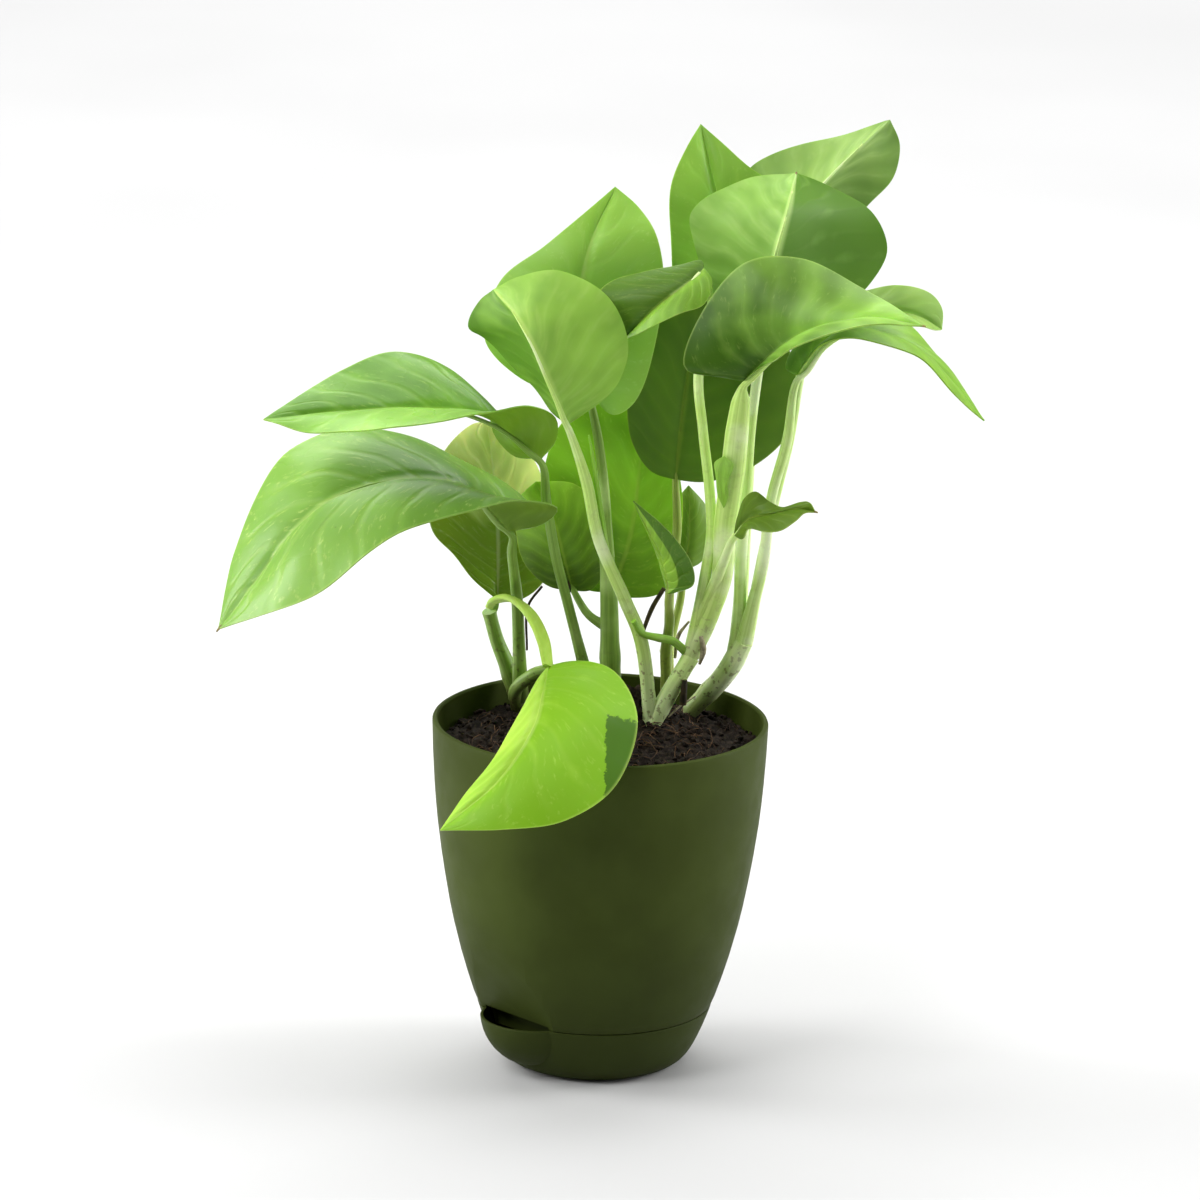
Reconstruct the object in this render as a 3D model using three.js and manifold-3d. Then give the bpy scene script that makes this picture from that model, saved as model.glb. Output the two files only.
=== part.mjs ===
// A golden pothos in its self-watering pot, in millimetres. +Z is up, the front of the pot faces -Y,
// and the origin is the middle of the pot's underside, on its axis.
import * as THREE from "three";
import { mergeVertices } from "three/addons/utils/BufferGeometryUtils.js";
import Module from "manifold-3d";

const wasm = await Module();
wasm.setup();

// Driving sizes of the pot
const RIM_RADIUS = 60;
const POT_HEIGHT = 126;
const SEAM_RADIUS = 42.3;
const SEAM_HEIGHT = 21;
const BASE_RADIUS = 29;
const WALL = 2;
const GAP = 0.3;
const ROUND_STEPS = 40;

// The body's floor and the slotted foot that stands in the water
const FLOOR_UNDERSIDE = 14;
const SPIGOT_RADIUS = SEAM_RADIUS - WALL - 1.5;
const SPIGOT_TAPER = 2.2;
const FOOT_RADIUS = 13;
const FOOT_SLOT_WIDTH = 3;

// The filling place: a leaning flat on the body over a round lip of the reservoir
const FILL_AZIMUTH = THREE.MathUtils.degToRad(-136.4);
const FILL_FLAT_DISTANCE = 37.6;
const FILL_FLAT_LEAN = Math.atan(0.476);
const ALCOVE_DISTANCE = 31.6;
const ALCOVE_WIDTH = 33;
const ALCOVE_TOP = SEAM_HEIGHT + GAP + 1;
const LIP_CENTRE_DISTANCE = 29;
const LIP_RADIUS = 19.8;
const LIP_WALL = 1.2;

// The soil
const SOIL_HEIGHT = 116.5;
const MOUND = { x: 12, y: 26, height: 5, spread: 16 };

// The plant
const BLADE_THICKNESS = 0.7;
const BLADE_STATIONS = 11;
const BLADE_LANES = 3;
const BLADE_SWEEP = 1.5;
const BLADE_CROWN = 0.1;
const STALK_SIDES = 6;
const STALK_RING_STEP = 13;
const STALK_TIP_RADIUS = 1;
const JOINT_GAP = 1.1;
const HOLE_CLEARANCE = 0.35;

const COLOURS = {
  pot: 0x4d6130,
  soil: 0x2b221b,
  stalk: 0x9cbf62,
  leaf: 0x6da52f,
  darkLeaf: 0x2f5522,
  frontLeaf: 0x8fc23a,
};

// Solids and meshes

// A closed geometry as a solid that can be joined and cut.
function solid(geometry) {
  const bare = geometry.clone();
  bare.deleteAttribute("normal");
  bare.deleteAttribute("uv");
  const merged = mergeVertices(bare, 1e-4);
  return new wasm.Manifold(
    new wasm.Mesh({
      numProp: 3,
      vertProperties: new Float32Array(merged.attributes.position.array),
      triVerts: new Uint32Array(merged.index.array),
    }),
  );
}

function geometryOf(body) {
  const mesh = body.getMesh();
  const geometry = new THREE.BufferGeometry();
  geometry.setAttribute("position", new THREE.BufferAttribute(new Float32Array(mesh.vertProperties), 3));
  geometry.setIndex(new THREE.BufferAttribute(new Uint32Array(mesh.triVerts), 1));
  geometry.computeVertexNormals();
  return geometry;
}

function faceted(vertices, faces) {
  const geometry = new THREE.BufferGeometry();
  geometry.setFromPoints(vertices);
  geometry.setIndex(faces.flat());
  return geometry;
}

function named(name, geometry, colour, roughness) {
  const material = new THREE.MeshStandardMaterial({ color: colour, roughness, metalness: 0 });
  const mesh = new THREE.Mesh(geometry, material);
  mesh.name = name;
  return mesh;
}

// A solid of revolution about Z from [radius, height] points, which run up the outside from the axis.
function turned(profile, steps = ROUND_STEPS) {
  const points = profile.map(([radius, height]) => new THREE.Vector2(radius, height));
  return new THREE.LatheGeometry(points, steps).rotateX(Math.PI / 2);
}

// The room that the filling place takes from the body: everything beyond the leaning flat, and the alcove
// under it that lets the water in. Both grow inwards by depth.
function fillingRoom(depth) {
  const size = 120;
  const block = new THREE.BoxGeometry(size, size, size);
  block.translate(size / 2, 0, 0);
  block.rotateY(FILL_FLAT_LEAN);
  block.translate(FILL_FLAT_DISTANCE - depth / Math.cos(FILL_FLAT_LEAN), 0, SEAM_HEIGHT + GAP);
  const alcove = new THREE.BoxGeometry(size, ALCOVE_WIDTH + 2 * depth, size);
  alcove.translate(ALCOVE_DISTANCE - depth + size / 2, 0, ALCOVE_TOP + depth - size / 2);
  return solid(block.rotateZ(FILL_AZIMUTH)).add(solid(alcove.rotateZ(FILL_AZIMUTH)));
}

// The pot

// The outer wall of the body above the seam, as [radius, height].
const BODY_WALL = [
  [SEAM_RADIUS, SEAM_HEIGHT + GAP],
  [46.1, 32.3],
  [51.2, 51],
  [54.8, 69.6],
  [57.5, 88],
  [59.6, 114.3],
  [RIM_RADIUS, POT_HEIGHT],
];

// The inside of the body, from the well of the foot up, moved inwards by clearance.
function bodyInside(clearance, top) {
  const wall = WALL + clearance;
  const floor = FLOOR_UNDERSIDE + wall;
  const upper = BODY_WALL.slice(1, -1).map(([radius, height]) => [radius - wall, height]);
  return [
    [0, WALL + GAP + wall],
    [FOOT_RADIUS - wall, WALL + GAP + wall],
    [FOOT_RADIUS - wall, floor],
    [SPIGOT_RADIUS - SPIGOT_TAPER - wall, floor],
    [SPIGOT_RADIUS - wall, SEAM_HEIGHT + clearance],
    [SEAM_RADIUS - wall, SEAM_HEIGHT + wall + 1],
    ...upper,
    ...top,
  ];
}

function potBody() {
  const outside = turned([
    [0, WALL + GAP],
    [FOOT_RADIUS, WALL + GAP],
    [FOOT_RADIUS, FLOOR_UNDERSIDE],
    [SPIGOT_RADIUS - SPIGOT_TAPER, FLOOR_UNDERSIDE],
    [SPIGOT_RADIUS, SEAM_HEIGHT + GAP],
    ...BODY_WALL,
    [0, POT_HEIGHT],
  ]);
  const inside = turned(bodyInside(0, [[RIM_RADIUS - WALL + 0.4, POT_HEIGHT + 1], [0, POT_HEIGHT + 1]]));
  const shell = solid(outside).subtract(fillingRoom(0));
  let body = shell.subtract(solid(inside).subtract(fillingRoom(WALL)));
  for (const turn of [0, Math.PI / 2]) {
    const slot = new THREE.BoxGeometry(4 * FOOT_RADIUS, FOOT_SLOT_WIDTH, 6);
    slot.translate(0, 0, 8.5);
    slot.rotateZ(turn);
    body = body.subtract(solid(slot));
  }
  return body;
}

function potReservoir() {
  const cup = turned([
    [0, 0],
    [BASE_RADIUS, 0],
    [31.2, 0.7],
    [34.8, 4],
    [38, 10],
    [41, 17.4],
    [SEAM_RADIUS, SEAM_HEIGHT],
    [0, SEAM_HEIGHT],
  ]);
  const cupInside = turned([
    [0, WALL],
    [30.6, WALL],
    [33.2, 5],
    [36.1, 10.6],
    [39, 17.8],
    [SEAM_RADIUS - WALL + 0.3, SEAM_HEIGHT + 1],
    [0, SEAM_HEIGHT + 1],
  ]);
  const lip = turned([
    [0, 3.5],
    [8, 4.5],
    [13, 7.5],
    [16.5, 11.5],
    [18.7, 16],
    [LIP_RADIUS, SEAM_HEIGHT],
    [0, SEAM_HEIGHT],
  ]);
  const lipInside = turned([
    [0, 4.7],
    [7.5, 5.7],
    [12.1, 8.5],
    [15.5, 12.2],
    [17.6, 16.4],
    [LIP_RADIUS - LIP_WALL, SEAM_HEIGHT + 1],
    [0, SEAM_HEIGHT + 1],
  ]);
  for (const round of [lip, lipInside]) {
    round.translate(LIP_CENTRE_DISTANCE, 0, 0).rotateZ(FILL_AZIMUTH);
  }
  return solid(cup).add(solid(lip)).subtract(solid(cupInside).add(solid(lipInside)));
}

// The crumbly top of the soil: a low mound round the stems, and lumps.
function soilTop(x, y) {
  const away = ((x - MOUND.x) ** 2 + (y - MOUND.y) ** 2) / (2 * MOUND.spread ** 2);
  const lumps = Math.sin(0.41 * x + 1) * Math.cos(0.37 * y) + 0.6 * Math.sin(0.9 * x - 0.7 * y);
  return SOIL_HEIGHT + MOUND.height * Math.exp(-away) + 0.9 * lumps;
}

function soilBody(stems) {
  const topRings = [51, 44, 37, 30, 23, 16, 9];
  const edge = BODY_WALL[5][0] - WALL - GAP;
  const top = [[edge, SOIL_HEIGHT], ...topRings.map((radius) => [radius, POT_HEIGHT]), [0, POT_HEIGHT]];
  const geometry = turned(bodyInside(GAP, top));
  const place = geometry.attributes.position;
  for (let i = 0; i < place.count; i++) {
    if (place.getZ(i) > POT_HEIGHT - 1) place.setZ(i, soilTop(place.getX(i), place.getY(i)));
  }
  let soil = solid(geometry).subtract(fillingRoom(WALL + GAP));
  for (const stem of stems) soil = soil.subtract(stem);
  return soil;
}

// The leaf blades

// Each blade is given by its midrib from base to tip, and by its left and right margins between the
// same two ends, seen on the upper side with the tip away.
const BLADES = {
  leaf_left_low: {
    rib: [[-33, 10, 192], [-54, 8, 210], [-98, 0, 205], [-136, -14, 160]],
    left: [[-21, 4, 197], [-17, 0, 203], [-30, -6, 207], [-44, -14, 207], [-72, -27, 200], [-103, -32, 178]],
    right: [[-27, 22, 195], [-29, 32, 198], [-56, 42, 212], [-85, 40, 220], [-113, 32, 215], [-131, 8, 183]],
  },
  leaf_left_high: {
    rib: [[-23, 6, 220], [-43, 10, 234], [-80, 2, 238], [-121, -10, 236]],
    left: [[-18, 8, 226], [-18, 8, 234], [-27, 2, 240], [-45, -14, 240], [-72, -26, 239], [-101, -20, 234]],
    right: [[-32, 12, 219], [-40, 18, 225], [-43, 26, 231], [-56, 32, 245], [-74, 30, 252], [-95, 18, 247]],
  },
  leaf_front_right: {
    rib: [[48, -6, 253], [63, -12, 269], [86, -22, 280], [109, -38, 282]],
    left: [[38, -4, 254], [27, -4, 257], [32, 0, 275], [47, 4, 293], [67, 4, 295], [89, -10, 288]],
    right: [[55, -20, 263], [63, -34, 271], [77, -42, 280], [94, -46, 284]],
  },
  leaf_crown_front: {
    rib: [[56, 16, 275], [58, 9, 294], [62, 9, 310], [65, 30, 320]],
    left: [[76, 28, 270], [90, 36, 276], [97, 40, 285], [98, 40, 292], [92, 38, 305], [79, 34, 314]],
    right: [[45, 22, 271], [34, 22, 282], [29, 24, 298], [28, 26, 305], [33, 28, 311], [47, 30, 317]],
  },
  leaf_front_centre: {
    rib: [[-14, -4, 235], [-22, -10, 255], [-31, -8, 273], [-41, 6, 281]],
    left: [[-6, 0, 240], [4, 2, 250], [7, 4, 262], [-1, 8, 279], [-18, 12, 287], [-32, 12, 284]],
    right: [[-20, -2, 239], [-28, 2, 249], [-38, 6, 258], [-45, 8, 264], [-49, 8, 267], [-46, 8, 276]],
  },
  leaf_back_left_tall: {
    rib: [[-7, 18, 242], [-11, 22, 265], [-8, 28, 291], [1, 42, 311]],
    left: [[-17, 20, 241], [-31, 22, 245], [-44, 26, 258], [-39, 28, 279], [-23, 30, 292], [-8, 36, 304]],
    right: [[2, 20, 233], [9, 24, 236], [16, 28, 255], [19, 30, 278], [16, 32, 296], [10, 38, 304]],
  },
  leaf_crown_left: {
    rib: [[46, 50, 256], [43, 48, 283], [37, 48, 309], [31, 58, 331]],
    left: [[36, 46, 253], [25, 42, 266], [21, 40, 296], [21, 42, 312], [26, 50, 324]],
    right: [[56, 50, 254], [68, 50, 269], [70, 48, 294], [60, 48, 310], [48, 50, 318], [39, 54, 325]],
  },
  leaf_crown_right: {
    rib: [[56, 60, 280], [70, 54, 304], [85, 58, 320], [99, 72, 331]],
    left: [[64, 62, 278], [79, 64, 286], [93, 66, 302], [101, 70, 312], [103, 72, 322]],
    right: [[48, 60, 288], [45, 62, 301], [49, 68, 313], [67, 72, 321], [85, 72, 326]],
  },
  leaf_right_long: {
    rib: [[67, 8, 252], [83, 4, 270], [108, -8, 267], [132, -24, 245]],
    left: [[63, 14, 253], [68, 20, 261], [85, 22, 270], [103, 14, 271], [117, 0, 261]],
    right: [[70, -2, 259], [74, -10, 267], [88, -22, 273], [107, -28, 269], [121, -28, 255]],
  },
  leaf_right_back: {
    rib: [[71, 30, 258], [84, 40, 265], [97, 52, 266], [110, 62, 262], [120, 68, 255]],
    left: [[81, 42, 271], [90, 52, 272], [103, 60, 273], [115, 66, 269], [120, 69, 262]],
    right: [[89, 36, 262], [100, 44, 261], [110, 52, 260], [117, 60, 257]],
  },
  leaf_centre_side: {
    rib: [[33, 12, 289], [25, 9, 283], [16, 9, 275], [5, 13, 262]],
    left: [[36, 8, 285], [33, 4, 278], [25, 2, 275], [16, 4, 270], [11, 8, 266]],
    right: [[32, 15, 291], [25, 17, 289], [12, 20, 285], [1, 20, 282], [-4, 18, 277], [0, 15, 268]],
  },
  leaf_back_dark: {
    rib: [[25, 34, 206], [27, 38, 231], [30, 40, 252], [36, 42, 272]],
    left: [[16, 34, 209], [9, 34, 220], [7, 34, 237], [8, 36, 258], [21, 40, 270]],
    right: [[36, 36, 205], [52, 38, 210], [66, 40, 224], [68, 42, 242], [56, 44, 265]],
  },
  leaf_low_left_back: {
    rib: [[-38, 40, 158], [-38, 44, 179], [-40, 48, 200], [-43, 50, 222]],
    left: [[-47, 38, 166], [-54, 41, 174], [-62, 44, 182], [-64, 48, 197], [-58, 50, 211], [-49, 51, 220]],
    right: [[-30, 41, 158], [-24, 45, 161], [-19, 50, 168], [-18, 53, 181], [-22, 55, 197], [-28, 54, 210],
      [-36, 52, 219]],
  },
  leaf_low_centre_back: {
    rib: [[3, 40, 162], [9, 42, 179], [12, 46, 202], [13, 50, 228]],
    left: [[-6, 38, 163], [-17, 40, 168], [-23, 43, 185], [-22, 45, 207], [-16, 47, 223], [-2, 48, 230]],
    right: [[10, 40, 160], [22, 44, 162], [27, 48, 180], [26, 50, 205]],
  },
  leaf_low_centre_front: {
    rib: [[-11, 30, 165], [-14, 28, 177], [-18, 28, 191], [-25, 34, 204]],
    left: [[-20, 32, 166], [-28, 34, 173], [-32, 36, 185], [-31, 36, 197]],
    right: [[-4, 32, 165], [1, 34, 175], [-1, 35, 192], [-11, 35, 203]],
  },
  leaf_low_right_back: {
    rib: [[29, 54, 167], [31, 54, 176], [31, 56, 187], [30, 60, 197]],
    left: [[25, 56, 170], [23, 58, 181], [26, 60, 191]],
    right: [[35, 58, 169], [40, 61, 178], [37, 61, 188]],
  },
  leaf_front_low: {
    rib: [[-19, -18, 150], [-24, -50, 137], [-35, -66, 123], [-55, -74, 106]],
    left: [[-11, -14, 151], [4, -28, 152], [13, -54, 141], [5, -70, 121], [-13, -76, 111], [-34, -78, 108]],
    right: [[-22, -23, 147], [-28, -40, 140], [-37, -58, 128], [-47, -66, 116]],
  },
  leaf_right_curled: {
    rib: [[46, 0, 195], [50, -4, 202], [58, -9, 206], [67, -14, 209], [74, -18, 209]],
    left: [[47, -1, 202], [49, -2, 209], [53, -3, 212], [58, -5, 209], [63, -9, 208], [69, -13, 211],
      [72, -17, 212]],
    right: [[49, -5, 195], [51, -10, 200], [56, -16, 201], [62, -19, 202], [67, -20, 206], [70, -20, 209]],
  },
  leaf_young_folded: {
    rib: [[23, 14, 169], [21, 12, 181], [15, 12, 193], [10, 14, 203]],
    left: [[22, 16, 174], [18, 16, 185], [14, 16, 194]],
    right: [[27, 10, 171], [32, 8, 174], [31, 8, 183], [20, 10, 196]],
  },
};

function smooth(points) {
  return new THREE.CatmullRomCurve3(points.map((p) => new THREE.Vector3(...p)));
}

// The middle surface of one half of a blade: rows from base to tip, each from the midrib to the margin.
// side is 1 for the right half and -1 for the left one.
function halfBlade(spec, side) {
  const rib = smooth(spec.rib);
  const ends = [spec.rib[0], spec.rib[spec.rib.length - 1]];
  const margin = smooth([ends[0], ...(side > 0 ? spec.right : spec.left), ends[1]]);
  const rows = [];
  for (let i = 0; i <= BLADE_STATIONS; i++) {
    const share = i / BLADE_STATIONS;
    const along = share ** BLADE_SWEEP;
    const start = rib.getPointAt(along);
    const across = margin.getPointAt(share).sub(start);
    const upper = across.clone().cross(rib.getTangentAt(along)).multiplyScalar(side).normalize();
    const row = [];
    for (let j = 0; j <= BLADE_LANES; j++) {
      const t = j / BLADE_LANES;
      const rise = BLADE_CROWN * across.length() * 2 * t * (1 - t);
      row.push(start.clone().addScaledVector(across, t).addScaledVector(upper, rise));
    }
    rows.push(row);
  }
  return rows;
}

// A thin closed blade: the middle surface moved half the thickness to both sides.
function blade(spec) {
  const middle = [];
  const seen = new Map();
  const indexOf = (point) => {
    const key = point.toArray().map((v) => v.toFixed(4)).join(" ");
    if (!seen.has(key)) {
      seen.set(key, middle.length);
      middle.push(point);
    }
    return seen.get(key);
  };
  const faces = [];
  const edge = {};
  for (const side of [-1, 1]) {
    const rows = halfBlade(spec, side).map((row) => row.map(indexOf));
    edge[side] = rows.map((row) => row[BLADE_LANES]);
    for (let i = 0; i < BLADE_STATIONS; i++) {
      for (let j = 0; j < BLADE_LANES; j++) {
        const [a, b, c, d] = [rows[i][j], rows[i + 1][j], rows[i + 1][j + 1], rows[i][j + 1]];
        const pair = side > 0 ? [[a, d, c], [a, c, b]] : [[a, c, d], [a, b, c]];
        faces.push(...pair.filter(([p, q, r]) => p !== q && q !== r && r !== p));
      }
    }
  }
  const normals = middle.map(() => new THREE.Vector3());
  for (const face of faces) {
    const [p, q, r] = face.map((k) => middle[k]);
    const normal = q.clone().sub(p).cross(r.clone().sub(p));
    for (const k of face) normals[k].add(normal);
  }
  const offset = (sign) => (p, k) => {
    return p.clone().addScaledVector(normals[k].clone().normalize(), (sign * BLADE_THICKNESS) / 2);
  };
  const vertices = [...middle.map(offset(1)), ...middle.map(offset(-1))];
  const under = middle.length;
  const all = faces.flatMap(([a, b, c]) => [[a, b, c], [a + under, c + under, b + under]]);
  const loop = [...edge[1], ...edge[-1].slice(1, -1).reverse()];
  loop.forEach((a, i) => {
    const b = loop[(i + 1) % loop.length];
    all.push([b, a, a + under], [b, a + under, b + under]);
  });
  return solid(faceted(vertices, all));
}

// The stalks

// Radius of a stalk at a share of its length, from its [x, y, z, radius] points.
function radiusAt(points, share) {
  const lengths = [0];
  for (let i = 1; i < points.length; i++) {
    const step = Math.hypot(...[0, 1, 2].map((k) => points[i][k] - points[i - 1][k]));
    lengths.push(lengths[i - 1] + step);
  }
  const target = share * lengths[lengths.length - 1];
  for (let i = 1; i < points.length; i++) {
    if (target <= lengths[i] || i === points.length - 1) {
      const t = Math.min(1, (target - lengths[i - 1]) / (lengths[i] - lengths[i - 1]));
      return THREE.MathUtils.lerp(points[i - 1][3], points[i][3], t);
    }
  }
}

// A tapering stalk along a smooth curve through its points, closed at both ends.
function stalk(points, clearance = 0) {
  const curve = new THREE.CatmullRomCurve3(points.map(([x, y, z]) => new THREE.Vector3(x, y, z)));
  const rings = Math.max(2, Math.round(curve.getLength() / STALK_RING_STEP));
  const frames = curve.computeFrenetFrames(rings);
  const vertices = [];
  for (let i = 0; i <= rings; i++) {
    const beyond = i === 0 ? -clearance : i === rings ? clearance : 0;
    const centre = curve.getPointAt(i / rings).addScaledVector(frames.tangents[i], beyond);
    const radius = radiusAt(points, i / rings) + clearance;
    for (let k = 0; k < STALK_SIDES; k++) {
      const angle = (2 * Math.PI * k) / STALK_SIDES;
      const out = frames.normals[i].clone().multiplyScalar(radius * Math.cos(angle));
      out.addScaledVector(frames.binormals[i], radius * Math.sin(angle));
      vertices.push(centre.clone().add(out));
    }
  }
  const faces = [];
  for (let i = 0; i < rings; i++) {
    for (let k = 0; k < STALK_SIDES; k++) {
      const a = i * STALK_SIDES + k;
      const b = i * STALK_SIDES + ((k + 1) % STALK_SIDES);
      faces.push([a, b, b + STALK_SIDES], [a, b + STALK_SIDES, a + STALK_SIDES]);
    }
  }
  const last = rings * STALK_SIDES;
  for (let k = 1; k < STALK_SIDES - 1; k++) {
    faces.push([0, k + 1, k], [last, last + k, last + k + 1]);
  }
  return solid(faceted(vertices, faces));
}

function joined(stalks, clearance = 0) {
  return stalks.map((points) => stalk(points, clearance)).reduce((a, b) => a.add(b));
}

// Stalk points are [x, y, z, radius]. The stems of a vine are its rooted stem and its side shoots, and
// each of its stalks carries the named blade.
const VINES = {
  vine_left: {
    stems: [
      [[-29, 40, 104, 3], [-29, 40, 116, 3.2], [-34, 42, 132, 3], [-38, 42, 142, 2.6], [-41, 39, 154, 2.4]],
      [[-29, 40, 116, 2.6], [-31, 35, 125, 2.4], [-27, 31, 131, 2.4], [-19, 29, 135, 2.4], [-8, 28, 133, 2.2],
        [-3, 27, 129, 2]],
    ],
    stalks: {
      leaf_low_left_back: [[-38, 42, 142, 1.8], [-40, 41, 152, 1.6]],
      leaf_left_low: [[-29, 38, 121, 2.4], [-30, 34, 144, 2.2], [-31, 28, 163, 2], [-33, 16, 183, 1.7]],
      leaf_left_high: [[-4, 27, 129, 2], [-9, 25, 148, 1.9], [-13, 21, 164, 1.8], [-17, 17, 180, 1.8],
        [-21, 12, 203, 1.7]],
    },
  },
  vine_centre: {
    stems: [
      [[5, 25, 104, 3.6], [5, 25, 117, 3.8], [3, 24, 141, 3.6], [2, 23, 164, 3.2], [1, 22, 181, 2.4]],
    ],
    stalks: {
      leaf_back_left_tall: [[1, 22, 180, 2.2], [0, 18, 201, 1.8], [-3, 12, 226, 1.6], [-6, 14, 239, 1.3]],
      leaf_low_centre_front: [[2, 24, 153, 1.7], [-5, 26, 157, 1.5]],
      leaf_low_centre_back: [[2, 24, 152, 1.7], [4, 33, 157, 1.5]],
    },
  },
  vine_middle: {
    stems: [
      [[18, 16, 104, 3], [18, 16, 117, 3.2], [24, 18, 130, 3.2], [32, 20, 144, 3]],
      [[30, 20, 146, 1.6], [25, 16, 151, 1.5], [19, 13, 153, 1.4], [14, 11, 155, 1.2], [11, 9, 160, 0.9]],
    ],
    stalks: {
      leaf_front_centre: [[19, 17, 112, 2.4], [14, 14, 151, 2.4], [8, 10, 167, 2.3], [-2, 5, 191, 2.1],
        [-7, 0, 214, 2]],
      leaf_centre_side: [[32, 20, 144, 2.4], [34, 17, 159, 2.2], [36, 14, 174, 2], [38, 12, 192, 1.8],
        [37, 11, 208, 1.8], [34, 10, 231, 1.7], [32, 11, 251, 1.7], [36, 17, 270, 1.3]],
      leaf_front_right: [[32, 20, 145, 2.6], [37, 17, 157, 3], [42, 13, 175, 3.6], [43, 8, 198, 4],
        [45, 4, 218, 4.2], [46, 0, 233, 4], [47, -3, 245, 3.2]],
      leaf_right_curled: [[35, 17, 160, 2.2], [40, 11, 175, 2], [43, 5, 185, 1.7]],
    },
  },
  vine_right: {
    stems: [
      [[32, 34, 104, 3], [32, 34, 118, 3.2], [37, 33, 125, 3.4], [43, 30, 133, 3.8], [48, 27, 142, 4],
        [51, 25, 149, 3.2]],
    ],
    stalks: {
      leaf_right_long: [[51, 25, 149, 2.6], [54, 21, 165, 2.2], [57, 17, 181, 2], [59, 13, 205, 1.8],
        [64, 9, 228, 1.8]],
      leaf_crown_front: [[48, 27, 143, 2.6], [49, 25, 157, 2.2], [49, 21, 180, 2], [50, 18, 203, 1.9],
        [51, 16, 229, 1.8], [53, 15, 250, 1.7], [55, 16, 264, 1.6]],
      leaf_crown_left: [[48, 28, 143, 2.2], [49, 36, 161, 2], [49, 44, 189, 1.9], [50, 50, 213, 1.8],
        [49, 53, 235, 1.7]],
      leaf_crown_right: [[49, 28, 144, 2.2], [50, 37, 161, 2], [51, 46, 188, 1.9], [52, 53, 212, 1.8],
        [54, 57, 234, 1.7], [56, 57, 259, 1.6]],
      leaf_right_back: [[51, 26, 148, 2.2], [54, 24, 164, 1.9], [57, 23, 183, 1.8], [61, 24, 204, 1.7],
        [65, 25, 223, 1.7], [68, 25, 245, 1.6]],
    },
  },
  vine_back: {
    stems: [
      [[24, 41, 104, 2.4], [24, 41, 117, 2.4], [24, 40, 129, 2.2], [23, 39, 141, 2]],
    ],
    stalks: {
      leaf_young_folded: [[24, 40, 125, 2], [23, 30, 143, 2], [24, 19, 158, 1.7]],
      leaf_back_dark: [[24, 40, 129, 1.8], [24, 39, 148, 1.7], [24, 38, 164, 1.6], [26, 36, 187, 1.6]],
      leaf_low_right_back: [[24, 40, 125, 1.6], [25, 47, 142, 1.5], [28, 52, 156, 1.4]],
    },
  },
};

// The broad stalk of the front leaf, of one colour with its blade.
const FRONT_STALK = [
  [-41, 37, 156, 1.2], [-39, 28, 161, 1.6], [-33, 17, 165, 2.2], [-26, 5, 163, 2.6], [-21, -8, 157, 2.6],
  [-19, -18, 150, 2],
];

// A stalk that ends just short of the foot of the blade it carries.
function stalkTo(bladeName, points) {
  const foot = new THREE.Vector3(...BLADES[bladeName].rib[0]);
  const last = new THREE.Vector3(...points[points.length - 1]);
  const end = foot.clone().add(last.sub(foot).setLength(JOINT_GAP));
  return [...points, [...end.toArray(), STALK_TIP_RADIUS]];
}

function stalksOf(vine) {
  const carried = Object.entries(vine.stalks).map(([bladeName, points]) => stalkTo(bladeName, points));
  return [...vine.stems, ...carried];
}

// The assembly

const plant = new THREE.Group();

// The holes in the soil are the vines themselves, a little thicker.
const holes = Object.values(VINES).map((vine) => joined(stalksOf(vine), HOLE_CLEARANCE));

plant.add(named("pot_reservoir", geometryOf(potReservoir()), COLOURS.pot, 0.5));
plant.add(named("pot_body", geometryOf(potBody()), COLOURS.pot, 0.5));
plant.add(named("soil", geometryOf(soilBody(holes)), COLOURS.soil, 1));
for (const [name, vine] of Object.entries(VINES)) {
  plant.add(named(name, geometryOf(joined(stalksOf(vine))), COLOURS.stalk, 0.5));
}
for (const [name, spec] of Object.entries(BLADES)) {
  const front = name === "leaf_front_low";
  const colour = front ? COLOURS.frontLeaf : name.includes("back") ? COLOURS.darkLeaf : COLOURS.leaf;
  const shape = front ? blade(spec).add(stalk(FRONT_STALK)) : blade(spec);
  plant.add(named(name, geometryOf(shape), colour, 0.35));
}

export default plant;
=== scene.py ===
import math
import random

import bpy
from mathutils import Matrix, Vector, noise


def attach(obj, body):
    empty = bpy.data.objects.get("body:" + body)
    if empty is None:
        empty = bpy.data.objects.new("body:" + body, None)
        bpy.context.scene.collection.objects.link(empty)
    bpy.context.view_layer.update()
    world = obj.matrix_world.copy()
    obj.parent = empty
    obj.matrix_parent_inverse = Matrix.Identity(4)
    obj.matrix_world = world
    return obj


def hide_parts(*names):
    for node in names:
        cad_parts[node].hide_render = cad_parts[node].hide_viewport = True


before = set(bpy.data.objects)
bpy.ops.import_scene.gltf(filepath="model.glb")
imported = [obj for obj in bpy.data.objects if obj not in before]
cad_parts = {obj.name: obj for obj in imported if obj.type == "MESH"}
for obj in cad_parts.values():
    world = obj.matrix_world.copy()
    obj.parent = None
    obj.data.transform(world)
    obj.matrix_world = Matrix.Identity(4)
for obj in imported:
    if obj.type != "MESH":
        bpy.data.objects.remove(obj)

# A golden pothos in a self-watering pot. Sizes are in millimetres, in the frame's own axes, unless a comment
# says metres; pieces are scaled to metres as they are made. Colours are screen colours from 0 to 255.
MM = 0.001

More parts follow.
